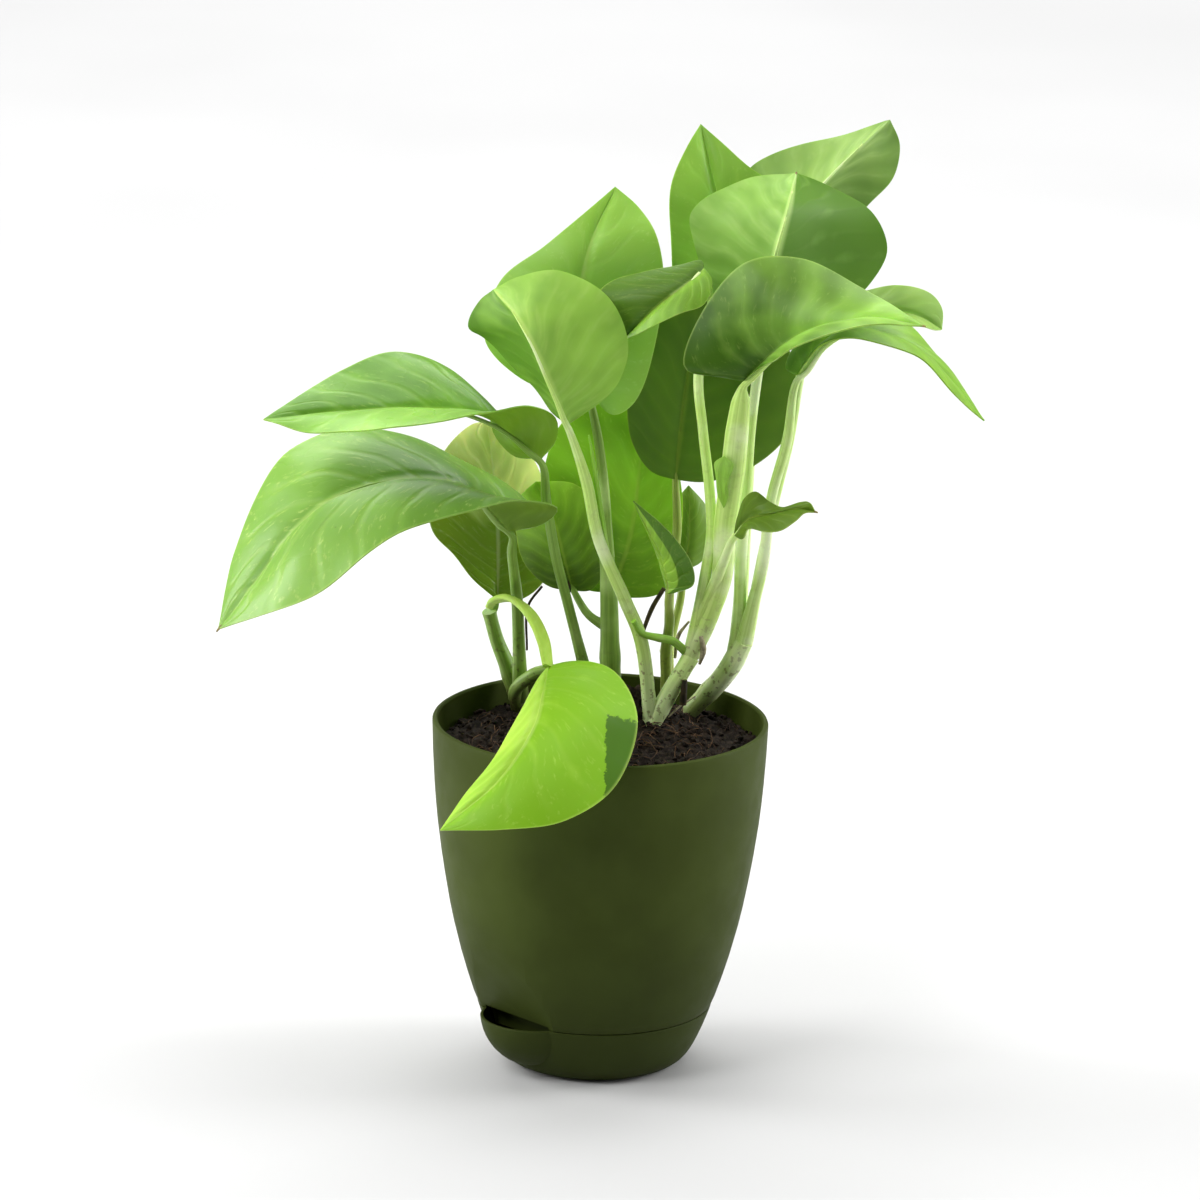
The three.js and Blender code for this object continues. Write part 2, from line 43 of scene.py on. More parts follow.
# The pot
RIM_RADIUS = 60
POT_HEIGHT = 126
SEAM_RADIUS = 42.3
SEAM_HEIGHT = 21
WALL = 2
GAP = 0.3
ROUND_STEPS = 144
FLOOR_UNDERSIDE = 14
SPIGOT_RADIUS = SEAM_RADIUS - WALL - 1.5
SPIGOT_TAPER = 2.2
FOOT_RADIUS = 13
FOOT_SLOT_WIDTH, FOOT_SLOT_HEIGHT, FOOT_SLOT_MIDDLE = 3, 6, 8.5
FILL_AZIMUTH = math.radians(-136.4)
FILL_FLAT_DISTANCE = 37.6
FILL_FLAT_LEAN = math.atan(0.476)
ALCOVE_DISTANCE = 31.6
ALCOVE_WIDTH = 33
ALCOVE_TOP = SEAM_HEIGHT + GAP + 1
LIP_CENTRE_DISTANCE = 29
LIP_RADIUS = 19.8
LIP_WALL = 1.2
LIP_STEPS = 96
# The share by which a face of the reservoir has to look inwards, and its highest place, to take the dark
# finish that paints the shade inside the cup.
INSIDE_SHADE_FACING, INSIDE_SHADE_LEVEL = -0.6, 21.4
# Larger than the pot, for what is cut away beyond a flat.
BEYOND = 120

# The soil
SOIL_HEIGHT = 116.5
MOUND_X, MOUND_Y, MOUND_HEIGHT, MOUND_SPREAD = 12, 26, 5, 16
SOIL_RINGS = 60
SOIL_STEPS = 200
CLUMP_MIDDLE = (10, 19, 124)
CLUMP_SIZE = (6.5, 4, 8.5)
CRUMB_COUNT, CRUMB_SEED, CRUMB_REACH = 1500, 11, 56
FIBRE_COUNT, FIBRE_SEED, FIBRE_REACH, FIBRE_RADIUS = 170, 23, 54, 0.16

# The leaves and stalks
BLADE_THICKNESS = 0.55
BLADE_STATIONS = 64
BLADE_LANES = 14
BLADE_SWEEP = 1.5
BLADE_CROWN = 0.1
SIDE_VEINS = 9
VEIN_SWAY = 1.3
QUILT_RELIEF = 0.1
STALK_SIDES = 16
STALK_RING_STEP = 2
REMNANT_SIDES = 8
REMNANT_RING_STEP = 1.5
# Radius of the ridge under a midrib, by the share of the midrib's length.
RIDGE = {0.04: 1.1, 0.16: 0.85, 0.34: 0.62, 0.55: 0.42, 0.78: 0.25}
# Edges, in metres, of the deep green patch on the front leaf, and its tone.
PATCH_SIDE = 0.0038
PATCH_TOP = 0.1445
PATCH_TONE = (74, 116, 20)
SPECK_TONE = (70, 62, 24)
FLECK_TONE = (84, 66, 42)
# How far light runs inside the blades and the stalks, in metres.
BLADE_DEPTH = {"Subsurface_Weight": 0.25, "Subsurface_Radius": (0.5, 1, 0.1), "Subsurface_Scale": 0.0015}
STALK_DEPTH = {"Subsurface_Weight": 0.15, "Subsurface_Radius": (0.5, 1, 0.2), "Subsurface_Scale": 0.002}

# Outer wall of the pot body above the seam, as (radius, height).
BODY_WALL = [
    (42.3, 21.3), (43.7, 25), (46.1, 32.3), (48.4, 40), (51.2, 51), (52.8, 58.4), (54.8, 69.6), (56, 77),
    (57.5, 88), (58.3, 95.7), (58.9, 103), (59.6, 114.3), (59.9, 122), (60, 125.2), (59.8, 125.7),
    (59.3, 126),
]
# The part of it that the inner wall follows, and its radius where the soil ends.
FOLLOWED_WALL = BODY_WALL[2:13]
RADIUS_AT_SOIL = BODY_WALL[11][0]

# Remnants among the stems, as (x, y, z, radius): thin dark roots, dried sheaths, a wing along a stalk. The
# flap of the broad stalk is a small blade.
ROOTS = [
    [(-22, 31, 166, 0.5), (-26.9, 30, 158.7, 0.5), (-27, 30, 142.2, 0.4)],
    [(21.8, 30, 166.5, 0.8), (17.7, 30, 159, 0.9), (14.3, 29, 149.5, 0.7)],
    [(-14.3, 30, 175.4, 0.5), (-13.1, 30, 169.8, 0.6), (-11.6, 30, 164.3, 0.3)],
    [(29.5, 17, 127.1, 1.3), (29.7, 16, 132.6, 1.2), (30, 16, 136.4, 0.9)],
]
SHEATHS = [
    [(24.3, 17, 122.1, 0.3), (28.5, 20, 125.4, 0.4), (33.9, 26, 127.5, 0.25)],
    [(35.3, 15, 153.2, 0.7), (36.3, 15, 148, 1.2), (35.1, 16, 142.5, 0.5)],
    [(31.1, 30, 154.4, 0.4), (27.3, 31, 148.4, 0.8), (26.4, 31, 140.2, 0.5)],
]
STALK_WING = [(-6.3, -2, 230.9, 0.3), (-3.9, 1, 217.4, 0.8), (-0.7, 4, 198.3, 0.8), (2.9, 8, 178.9, 0.3)]
STALK_FLAP = {
    "rib": [(42.1, 3.5, 203.9), (40.8, 0.5, 214.2), (41.6, -2, 224.4)],
    "left": [(39.9, 3, 208.8), (39, 1, 217), (38.4, 0, 221.5)],
    "right": [(43.4, 2, 208.2), (43, 0, 214), (45, -1.5, 221.4)],
}

# The photograph's camera: a long lens, far away, a little tilted.
CAMERA_LENS = 240
CAMERA_PITCH = math.radians(15.67)
CAMERA_ROLL = math.radians(1.28)
CAMERA_PLACE = (-1.1, -2738.1, 938.1)

# The studio, in metres and watts: each light's place, aim, size and power.
AIR_STRENGTH = 0.16
PLANT_MIDDLE = (0, 0, 0.18)
LIGHTS = {
    "window_key": ((-1.0, -0.9, 1.5), PLANT_MIDDLE, (0.8, 0.8), 18),
    "panel_left": ((-1.3, 0.2, 0.6), PLANT_MIDDLE, (0.6, 1.0), 18),
    "panel_right": ((1.3, 0.25, 0.6), PLANT_MIDDLE, (0.6, 1.0), 17),
    "panel_top": ((0.1, 0.2, 1.7), PLANT_MIDDLE, (0.8, 0.8), 9),
    "paper_glow": ((0, 2.2, 2.2), (0, 2.2, 0), (3.5, 2.5), 95),
}

# Each blade: its midrib from base to tip, and its margins between the same ends, seen on the upper side
# with the tip away.
BLADES = {
    "leaf_left_low": {
        "rib": [(-33, 10, 192), (-54, 8, 210), (-98, 0, 205), (-136, -14, 160)],
        "left": [(-21, 4, 197), (-17, 0, 203), (-30, -6, 207), (-44, -14, 207), (-72, -27, 200),
            (-103, -32, 178)],
        "right": [(-27, 22, 195), (-29, 32, 198), (-56, 42, 212), (-85, 40, 220), (-113, 32, 215),
            (-131, 8, 183)],
    },
    "leaf_left_high": {
        "rib": [(-23, 6, 220), (-43, 10, 234), (-80, 2, 238), (-121, -10, 236)],
        "left": [(-18, 8, 226), (-18, 8, 234), (-27, 2, 240), (-45, -14, 240), (-72, -26, 239),
            (-101, -20, 234)],
        "right": [(-32, 12, 219), (-40, 18, 225), (-43, 26, 231), (-56, 32, 245), (-74, 30, 252),
            (-95, 18, 247)],
    },
    "leaf_front_right": {
        "rib": [(48, -6, 253), (63, -12, 269), (86, -22, 280), (109, -38, 282)],
        "left": [(38, -4, 254), (27, -4, 257), (32, 0, 275), (47, 4, 293), (67, 4, 295), (89, -10, 288)],
        "right": [(55, -20, 263), (63, -34, 271), (77, -42, 280), (94, -46, 284)],
    },
    "leaf_crown_front": {
        "rib": [(56, 16, 275), (58, 9, 294), (62, 9, 310), (65, 30, 320)],
        "left": [(76, 28, 270), (90, 36, 276), (97, 40, 285), (98, 40, 292), (92, 38, 305), (79, 34, 314)],
        "right": [(45, 22, 271), (34, 22, 282), (29, 24, 298), (28, 26, 305), (33, 28, 311), (47, 30, 317)],
    },
    "leaf_front_centre": {
        "rib": [(-14, -4, 235), (-22, -10, 255), (-31, -8, 273), (-41, 6, 281)],
        "left": [(-6, 0, 240), (4, 2, 250), (7, 4, 262), (-1, 8, 279), (-18, 12, 287), (-32, 12, 284)],
        "right": [(-20, -2, 239), (-28, 2, 249), (-38, 6, 258), (-45, 8, 264), (-49, 8, 267), (-46, 8, 276)],
    },
    "leaf_back_left_tall": {
        "rib": [(-7, 18, 242), (-11, 22, 265), (-8, 28, 291), (1, 42, 311)],
        "left": [(-17, 20, 241), (-31, 22, 245), (-44, 26, 258), (-39, 28, 279), (-23, 30, 292),
            (-8, 36, 304)],
        "right": [(2, 20, 233), (9, 24, 236), (16, 28, 255), (19, 30, 278), (16, 32, 296), (10, 38, 304)],
    },
    "leaf_crown_left": {
        "rib": [(46, 50, 256), (43, 48, 283), (37, 48, 309), (31, 58, 331)],
        "left": [(36, 46, 253), (25, 42, 266), (21, 40, 296), (21, 42, 312), (26, 50, 324)],
        "right": [(56, 50, 254), (68, 50, 269), (70, 48, 294), (60, 48, 310), (48, 50, 318), (39, 54, 325)],
    },
    "leaf_crown_right": {
        "rib": [(56, 60, 280), (70, 54, 304), (85, 58, 320), (99, 72, 331)],
        "left": [(64, 62, 278), (79, 64, 286), (93, 66, 302), (101, 70, 312), (103, 72, 322)],
        "right": [(48, 60, 288), (45, 62, 301), (49, 68, 313), (67, 72, 321), (85, 72, 326)],
    },
    "leaf_right_long": {
        "rib": [(67, 8, 252), (83, 4, 270), (108, -8, 267), (132, -24, 245)],
        "left": [(63, 14, 253), (68, 20, 261), (85, 22, 270), (103, 14, 271), (117, 0, 261)],
        "right": [(70, -2, 259), (74, -10, 267), (88, -22, 273), (107, -28, 269), (121, -28, 255)],
    },
    "leaf_right_back": {
        "rib": [(71, 30, 258), (84, 40, 265), (97, 52, 266), (110, 62, 262), (120, 68, 255)],
        "left": [(81, 42, 271), (90, 52, 272), (103, 60, 273), (115, 66, 269), (120, 69, 262)],
        "right": [(89, 36, 262), (100, 44, 261), (110, 52, 260), (117, 60, 257)],
    },
    "leaf_centre_side": {
        "rib": [(33, 12, 289), (25, 9, 283), (16, 9, 275), (5, 13, 262)],
        "left": [(36, 8, 285), (33, 4, 278), (25, 2, 275), (16, 4, 270), (11, 8, 266)],
        "right": [(32, 15, 291), (25, 17, 289), (12, 20, 285), (1, 20, 282), (-4, 18, 277), (0, 15, 268)],
    },
    "leaf_back_dark": {
        "rib": [(25, 34, 206), (27, 38, 231), (30, 40, 252), (36, 42, 272)],
        "left": [(16, 34, 209), (9, 34, 220), (7, 34, 237), (8, 36, 258), (21, 40, 270)],
        "right": [(36, 36, 205), (52, 38, 210), (66, 40, 224), (68, 42, 242), (56, 44, 265)],
    },
    "leaf_low_left_back": {
        "rib": [(-38, 40, 158), (-38, 44, 179), (-40, 48, 200), (-43, 50, 222)],
        "left": [(-47, 38, 166), (-54, 41, 174), (-62, 44, 182), (-64, 48, 197), (-58, 50, 211),
            (-49, 51, 220)],
        "right": [(-30, 41, 158), (-24, 45, 161), (-19, 50, 168), (-18, 53, 181), (-22, 55, 197),
            (-28, 54, 210), (-36, 52, 219)],
    },
    "leaf_low_centre_back": {
        "rib": [(3, 40, 162), (9, 42, 179), (12, 46, 202), (13, 50, 228)],
        "left": [(-6, 38, 163), (-17, 40, 168), (-23, 43, 185), (-22, 45, 207), (-16, 47, 223),
            (-2, 48, 230)],
        "right": [(10, 40, 160), (22, 44, 162), (27, 48, 180), (26, 50, 205)],
    },
    "leaf_low_centre_front": {
        "rib": [(-11, 30, 165), (-14, 28, 177), (-18, 28, 191), (-25, 34, 204)],
        "left": [(-20, 32, 166), (-28, 34, 173), (-32, 36, 185), (-31, 36, 197)],
        "right": [(-4, 32, 165), (1, 34, 175), (-1, 35, 192), (-11, 35, 203)],
    },
    "leaf_low_right_back": {
        "rib": [(29, 54, 167), (31, 54, 176), (31, 56, 187), (30, 60, 197)],
        "left": [(25, 56, 170), (23, 58, 181), (26, 60, 191)],
        "right": [(35, 58, 169), (40, 61, 178), (37, 61, 188)],
    },
    "leaf_front_low": {
        "rib": [(-19, -18, 150), (-24, -50, 137), (-35, -66, 123), (-55, -74, 106)],
        "left": [(-11, -14, 151), (4, -28, 152), (13, -54, 141), (5, -70, 121), (-13, -76, 111),
            (-34, -78, 108)],
        "right": [(-22, -23, 147), (-28, -40, 140), (-37, -58, 128), (-47, -66, 116)],
    },
    "leaf_right_curled": {
        "rib": [(46, 0, 195), (50, -4, 202), (58, -9, 206), (67, -14, 209), (74, -18, 209)],
        "left": [(47, -1, 202), (49, -2, 209), (53, -3, 212), (58, -5, 209), (63, -9, 208), (69, -13, 211),
            (72, -17, 212)],
        "right": [(49, -5, 195), (51, -10, 200), (56, -16, 201), (62, -19, 202), (67, -20, 206),
            (70, -20, 209)],
    },
    "leaf_young_folded": {
        "rib": [(23, 14, 169), (21, 12, 181), (15, 12, 193), (10, 14, 203)],
        "left": [(22, 16, 174), (18, 16, 185), (14, 16, 194)],
        "right": [(27, 10, 171), (32, 8, 174), (31, 8, 183), (20, 10, 196)],
    },
}

# Each vine: its rooted stem and side shoots, and the stalk of each blade it carries, as (x, y, z, radius).
VINES = {
    "vine_left": {
        "stems": [
            [(-29, 40, 104, 3), (-29, 40, 116, 3.2), (-34, 42, 132, 3), (-38, 42, 142, 2.6),
                (-41, 39, 154, 2.4)],
            [(-29, 40, 116, 2.6), (-31, 35, 125, 2.4), (-27, 31, 131, 2.4), (-19, 29, 135, 2.4),
                (-8, 28, 133, 2.2), (-3, 27, 129, 2)],
        ],
        "stalks": {
            "leaf_low_left_back": [(-38, 42, 142, 1.8), (-40, 41, 152, 1.6)],
            "leaf_left_low": [(-29, 38, 121, 2.4), (-30, 34, 144, 2.2), (-31, 28, 163, 2),
                (-33, 16, 183, 1.7)],
            "leaf_left_high": [(-4, 27, 129, 2), (-9, 25, 148, 1.9), (-13, 21, 164, 1.8),
                (-17, 17, 180, 1.8), (-21, 12, 203, 1.7)],
        },
    },
    "vine_centre": {
        "stems": [
            [(5, 25, 104, 3.6), (5, 25, 117, 3.8), (3, 24, 141, 3.6), (2, 23, 164, 3.2), (1, 22, 181, 2.4)],
        ],
        "stalks": {
            "leaf_back_left_tall": [(1, 22, 180, 2.2), (0, 18, 201, 1.8), (-3, 12, 226, 1.6),
                (-6, 14, 239, 1.3)],
            "leaf_low_centre_front": [(2, 24, 153, 1.7), (-5, 26, 157, 1.5)],
            "leaf_low_centre_back": [(2, 24, 152, 1.7), (4, 33, 157, 1.5)],
        },
    },
    "vine_middle": {
        "stems": [
            [(18, 16, 104, 3), (18, 16, 117, 3.2), (24, 18, 130, 3.2), (32, 20, 144, 3)],
            [(30, 20, 146, 1.6), (25, 16, 151, 1.5), (19, 13, 153, 1.4), (14, 11, 155, 1.2),
                (11, 9, 160, 0.9)],
        ],
        "stalks": {
            "leaf_front_centre": [(19, 17, 112, 2.4), (14, 14, 151, 2.4), (8, 10, 167, 2.3),
                (-2, 5, 191, 2.1), (-7, 0, 214, 2)],
            "leaf_centre_side": [(32, 20, 144, 2.4), (34, 17, 159, 2.2), (36, 14, 174, 2),
                (38, 12, 192, 1.8), (37, 11, 208, 1.8), (34, 10, 231, 1.7), (32, 11, 251, 1.7),
                (36, 17, 270, 1.3)],
            "leaf_front_right": [(32, 20, 145, 2.6), (37, 17, 157, 3), (42, 13, 175, 3.6), (43, 8, 198, 4),
                (45, 4, 218, 4.2), (46, 0, 233, 4), (47, -3, 245, 3.2)],
            "leaf_right_curled": [(35, 17, 160, 2.2), (40, 11, 175, 2), (43, 5, 185, 1.7)],
        },
    },
    "vine_right": {
        "stems": [
            [(32, 34, 104, 3), (32, 34, 118, 3.2), (37, 33, 125, 3.4), (43, 30, 133, 3.8),
                (48, 27, 142, 4), (51, 25, 149, 3.2)],
        ],
        "stalks": {
            "leaf_right_long": [(51, 25, 149, 2.6), (54, 21, 165, 2.2), (57, 17, 181, 2),
                (59, 13, 205, 1.8), (64, 9, 228, 1.8)],
            "leaf_crown_front": [(48, 27, 143, 2.6), (49, 25, 157, 2.2), (49, 21, 180, 2),
                (50, 18, 203, 1.9), (51, 16, 229, 1.8), (53, 15, 250, 1.7), (55, 16, 264, 1.6)],
            "leaf_crown_left": [(48, 28, 143, 2.2), (49, 36, 161, 2), (49, 44, 189, 1.9),
                (50, 50, 213, 1.8), (49, 53, 235, 1.7)],
            "leaf_crown_right": [(49, 28, 144, 2.2), (50, 37, 161, 2), (51, 46, 188, 1.9),
                (52, 53, 212, 1.8), (54, 57, 234, 1.7), (56, 57, 259, 1.6)],
            "leaf_right_back": [(51, 26, 148, 2.2), (54, 24, 164, 1.9), (57, 23, 183, 1.8),
                (61, 24, 204, 1.7), (65, 25, 223, 1.7), (68, 25, 245, 1.6)],
        },
    },
    "vine_back": {
        "stems": [
            [(24, 41, 104, 2.4), (24, 41, 117, 2.4), (24, 40, 129, 2.2), (23, 39, 141, 2)],
        ],
        "stalks": {
            "leaf_young_folded": [(24, 40, 125, 2), (23, 30, 143, 2), (24, 19, 158, 1.7)],
            "leaf_back_dark": [(24, 40, 129, 1.8), (24, 39, 148, 1.7), (24, 38, 164, 1.6),
                (26, 36, 187, 1.6)],
            "leaf_low_right_back": [(24, 40, 125, 1.6), (25, 47, 142, 1.5), (28, 52, 156, 1.4)],
        },
    },
}

# The vine and the number of its stem that is a green shoot.
GREEN_SHOOT = ("vine_middle", 1)

# The broad stalk of the front leaf, of one colour with its blade.
FRONT_STALK = [
    (-41, 37, 156, 1.2), (-39, 28, 161, 1.6), (-33, 17, 165, 2.2), (-26, 5, 163, 2.6), (-21, -8, 157, 2.6),
    (-19, -18, 150, 2),
]

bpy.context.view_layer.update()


# Working with Blender

def start_fresh():
    """Nothing stays selected before a new piece is added."""
    bpy.ops.object.select_all(action="DESELECT")


def only(piece):
    """Makes this piece the only selected and active one."""
    start_fresh()
    piece.select_set(True)
    bpy.context.view_layer.objects.active = piece


def edit(piece, *steps):
    """Runs edit-mode steps on all of the piece."""
    only(piece)
    bpy.ops.object.mode_set(mode="EDIT")
    bpy.ops.mesh.select_all(action="SELECT")
    for step in steps:
        step()
    bpy.ops.object.mode_set(mode="OBJECT")


def merge_doubles(distance=0.02):
    bpy.ops.mesh.remove_doubles(threshold=distance * MM)


def face_outwards():
    bpy.ops.mesh.normals_make_consistent(inside=False)


def apply_modifier(piece, kind, **settings):
    only(piece)
    modifier = piece.modifiers.new(kind.lower(), kind)
    for key, value in settings.items():
        setattr(modifier, key, value)
    bpy.ops.object.modifier_apply(modifier=modifier.name)


def cut(piece, tool, operation="DIFFERENCE"):
    """Cuts, joins or crosses a piece with another, which is used up."""
    apply_modifier(piece, "BOOLEAN", operation=operation, object=tool, solver="EXACT")
    bpy.data.objects.remove(tool)


def bake_place(piece):
    """Puts the piece's place, turn and size into its mesh."""
    only(piece)
    bpy.ops.object.transform_apply(location=True, rotation=True, scale=True)


def join(name, pieces):
    start_fresh()
    for piece in pieces:
        piece.select_set(True)
    bpy.context.view_layer.objects.active = pieces[0]
    if len(pieces) > 1:
        bpy.ops.object.join()
    whole = bpy.context.object
    whole.name = name
    return whole


def smooth(piece, angle=40):
    only(piece)
    bpy.ops.object.shade_smooth_by_angle(angle=math.radians(angle))


def hang(piece, slot, *nodes):
    """Hangs the piece on the frame, in place of the CAD nodes."""
    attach(piece, "root")
    if nodes:
        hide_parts(*nodes)
    return piece


def finish_piece(piece, slot, finish, *nodes):
    """Gives the piece its finish and hangs it on the frame."""
    piece.data.materials.clear()
    piece.data.materials.append(finish)
    return hang(piece, slot, *nodes)


# Curves

class Course:
    """A smooth curve through points in millimetres, read by the share of its length."""

    STEPS = 160

    def __init__(self, points):
        self.points = [Vector(point[:3]) for point in points]
        self.lengths = [0.0]
        samples = [self.raw(step / self.STEPS) for step in range(self.STEPS + 1)]
        for one, other in zip(samples, samples[1:]):
            self.lengths.append(self.lengths[-1] + (other - one).length)
        self.length = self.lengths[-1]

    def raw(self, place):
        points = self.points
        last = len(points) - 1
        index = min(int(place * last), last - 1)
        share = place * last - index
        here, there = points[index], points[index + 1]
        before = points[index - 1] if index else 2 * here - there
        after = points[index + 2] if index + 2 <= last else 2 * there - here
        a, b, c = ((q - p).length ** 0.5 for p, q in ((before, here), (here, there), (there, after)))
        b = b or 1
        a = a or b
        c = c or b
        leave = ((here - before) / a - (there - before) / (a + b) + (there - here) / b) * b
        arrive = ((there - here) / b - (after - here) / (b + c) + (after - there) / c) * b
        square = -3 * here + 3 * there - 2 * leave - arrive
        cube = 2 * here - 2 * there + leave + arrive
        return here + leave * share + square * share ** 2 + cube * share ** 3

    def at(self, share):
        target = min(max(share, 0), 1) * self.length
        low, high = 0, self.STEPS
        while high - low > 1:
            middle = (low + high) // 2
            low, high = (middle, high) if self.lengths[middle] <= target else (low, middle)
        step = self.lengths[high] - self.lengths[low]
        return self.raw((low + (target - self.lengths[low]) / step) / self.STEPS)

    def heading(self, share):
        small = 0.002
        return (self.at(min(1, share + small)) - self.at(max(0, share - small))).normalized()


# Finishes

def tone(red, green, blue):
    """A screen colour from 0 to 255 as the linear colour that a shader takes."""
    parts = [value / 255 for value in (red, green, blue)]
    return (*[p / 12.92 if p <= 0.04045 else ((p + 0.055) / 1.055) ** 2.4 for p in parts], 1)


class Finish:
    """A material under construction: each call adds one shader node and returns its output."""

    def __init__(self, name, roughness=0.5, specular=0.5):
        self.material = bpy.data.materials.new(name)
        self.material.use_nodes = True
        self.tree = self.material.node_tree
        self.shader = self.tree.nodes["Principled BSDF"]
        self.shader.inputs["Roughness"].default_value = roughness
        self.shader.inputs["Specular IOR Level"].default_value = specular
        self.place = self.tree.nodes.new("ShaderNodeTexCoord")

    def put(self, node, sockets):
        for key, value in sockets.items():
            socket = node.inputs[key]
            if isinstance(value, bpy.types.NodeSocket):
                self.tree.links.new(value, socket)
            else:
                socket.default_value = value
        return node

    def sum(self, operation, *values):
        node = self.tree.nodes.new("ShaderNodeMath")
        node.operation = operation
        self.put(node, dict(enumerate(values)))
        return node.outputs[0]

    def step(self, value, low, high, out_low=0.0, out_high=1.0):
        """A soft step of a value from low to high."""
        node = self.tree.nodes.new("ShaderNodeMapRange")
        node.interpolation_type = "SMOOTHSTEP"
        limits = {"From Min": low, "From Max": high, "To Min": out_low, "To Max": out_high}
        return self.put(node, {"Value": value, **limits}).outputs["Result"]

    def noise(self, vector, scale, detail=3.0, roughness=0.5):
        node = self.tree.nodes.new("ShaderNodeTexNoise")
        sockets = {"Vector": vector, "Scale": scale, "Detail": detail, "Roughness": roughness}
        return self.put(node, sockets).outputs["Fac"]

    def cells(self, vector, scale):
        node = self.tree.nodes.new("ShaderNodeTexVoronoi")
        return self.put(node, {"Vector": vector, "Scale": scale}).outputs["Distance"]

    def blend(self, share, one, other):
        node = self.tree.nodes.new("ShaderNodeMix")
        node.data_type = "RGBA"
        sockets = {"Factor_Float": share, "A_Color": one, "B_Color": other}
        by_identifier = {socket.identifier: socket for socket in node.inputs}
        for key, value in sockets.items():
            if isinstance(value, bpy.types.NodeSocket):
                self.tree.links.new(value, by_identifier[key])
            else:
                by_identifier[key].default_value = value
        return next(socket for socket in node.outputs if socket.identifier == "Result_Color")

    def apart(self, vector):
        node = self.put(self.tree.nodes.new("ShaderNodeSeparateXYZ"), {"Vector": vector})
        return node.outputs["X"], node.outputs["Y"], node.outputs["Z"]

    def together(self, x, y, z):
        node = self.put(self.tree.nodes.new("ShaderNodeCombineXYZ"), {"X": x, "Y": y, "Z": z})
        return node.outputs["Vector"]

    def bump(self, height, distance, strength=1.0):
        node = self.tree.nodes.new("ShaderNodeBump")
        sockets = {"Height": height, "Distance": distance, "Strength": strength}
        return self.put(node, sockets).outputs["Normal"]

    def set(self, **sockets):
        names = {key.replace("_", " "): value for key, value in sockets.items()}
        self.put(self.shader, names)
        return self.material


def pot_plastic():
    """Matt olive plastic with a fine grain, and painted shade that makes it a little darker low down."""
    finish = Finish("pot_olive_plastic", specular=0.2)
    place = finish.place.outputs["Object"]
    grain = finish.noise(place, 2600, 4)
    mottle = finish.noise(place, 38, 3)
    colour = finish.blend(finish.step(mottle, 0.3, 0.7), tone(60, 71, 23), tone(66, 78, 28))
    _, _, above_floor = finish.apart(place)
    # Painted shade: the plastic is darkened towards the floor, for the shade low on the pot.
    low_shade = finish.step(above_floor, 0.01, 0.085, 0.5, 0.0)
    colour = finish.blend(low_shade, colour, tone(34, 39, 14))
    height = finish.sum("ADD", grain, finish.sum("MULTIPLY", mottle, 0.4))
    rough = finish.step(finish.noise(place, 120, 3), 0.25, 0.75, 0.52, 0.62)
    return finish.set(Base_Color=colour, Roughness=rough, Normal=finish.bump(height, 0.00006, 0.5), IOR=1.3)


def shaded_inside_plastic():
    """The reservoir's inner wall, painted dark for the shade inside the cup."""
    finish = Finish("reservoir_inside", specular=0.25)
    inside_mottle = finish.noise(finish.place.outputs["Object"], 160, 4)
    # Painted shade: dark tones for the inside of the cup, with a soft mottle.
    colour = finish.blend(finish.step(inside_mottle, 0.35, 0.65), tone(16, 18, 9), tone(27, 30, 14))
    return finish.set(Base_Color=colour, Roughness=finish.step(inside_mottle, 0.3, 0.7, 0.55, 0.7))


def soil_earth():
    finish = Finish("soil_coco_peat", specular=0.2)
    place = finish.place.outputs["Object"]
    crumbs = finish.noise(place, 420, 6, 0.65)
    patches = finish.noise(place, 60, 3)
    colour = finish.blend(finish.step(crumbs, 0.35, 0.7), tone(22, 18, 14), tone(56, 43, 32))
    colour = finish.blend(finish.step(patches, 0.5, 0.75), colour, tone(36, 28, 21))
    rough = finish.step(crumbs, 0.3, 0.7, 0.95, 0.75)
    return finish.set(Base_Color=colour, Roughness=rough, Normal=finish.bump(crumbs, 0.0012, 0.9))


def soil_fibre():
    finish = Finish("coco_fibre", specular=0.25)
    shade = finish.noise(finish.place.outputs["Object"], 300, 3)
    colour = finish.blend(finish.step(shade, 0.35, 0.65), tone(52, 37, 26), tone(104, 78, 54))
    rough = finish.step(shade, 0.3, 0.7, 0.7, 0.9)
    return finish.set(Base_Color=colour, Roughness=rough)


def stalk_skin(name, light, deep, pale, earth_line, scars, foot=(74, 66, 38)):
    """Green skin with fine lengthwise streaks and pale patches, brown and flecked near the soil."""
    finish = Finish(name, specular=0.35)
    across, along, _ = finish.apart(finish.place.outputs["UV"])
    place = finish.place.outputs["Object"]
    _, _, height = finish.apart(place)
    ring = finish.sum("MULTIPLY", across, 2 * math.pi)
    round_x, round_y = finish.sum("COSINE", ring), finish.sum("SINE", ring)
    lengthwise = finish.together(round_x, round_y, finish.sum("MULTIPLY", along, 0.6))
    streaks = finish.noise(lengthwise, 3.2, 4, 0.6)
    patches = finish.noise(place, 45, 3)
    colour = finish.blend(finish.step(streaks, 0.3, 0.7), tone(*deep), tone(*light))
    colour = finish.blend(finish.step(patches, 0.45, 0.7, 0.0, 0.8), colour, tone(*pale))
    ragged = finish.sum("MULTIPLY_ADD", patches, 0.02, height)
    low = finish.step(ragged, earth_line - 0.004, earth_line + 0.022, 1.0, 0.0)
    colour = finish.blend(finish.sum("MULTIPLY", low, scars), colour, tone(*foot))
    flecks = finish.step(finish.noise(place, 420, 4, 0.6), 0.56, 0.64)
    near_soil = finish.step(height, earth_line, earth_line + 0.035, 0.6, 0.08)
    colour = finish.blend(finish.sum("MULTIPLY", flecks, near_soil), colour, tone(*FLECK_TONE))
    rough = finish.step(streaks, 0.3, 0.7, 0.36, 0.5)
    relief = finish.bump(streaks, 0.0001, 0.3)
    return finish.set(Base_Color=colour, Roughness=rough, Normal=relief, **STALK_DEPTH)


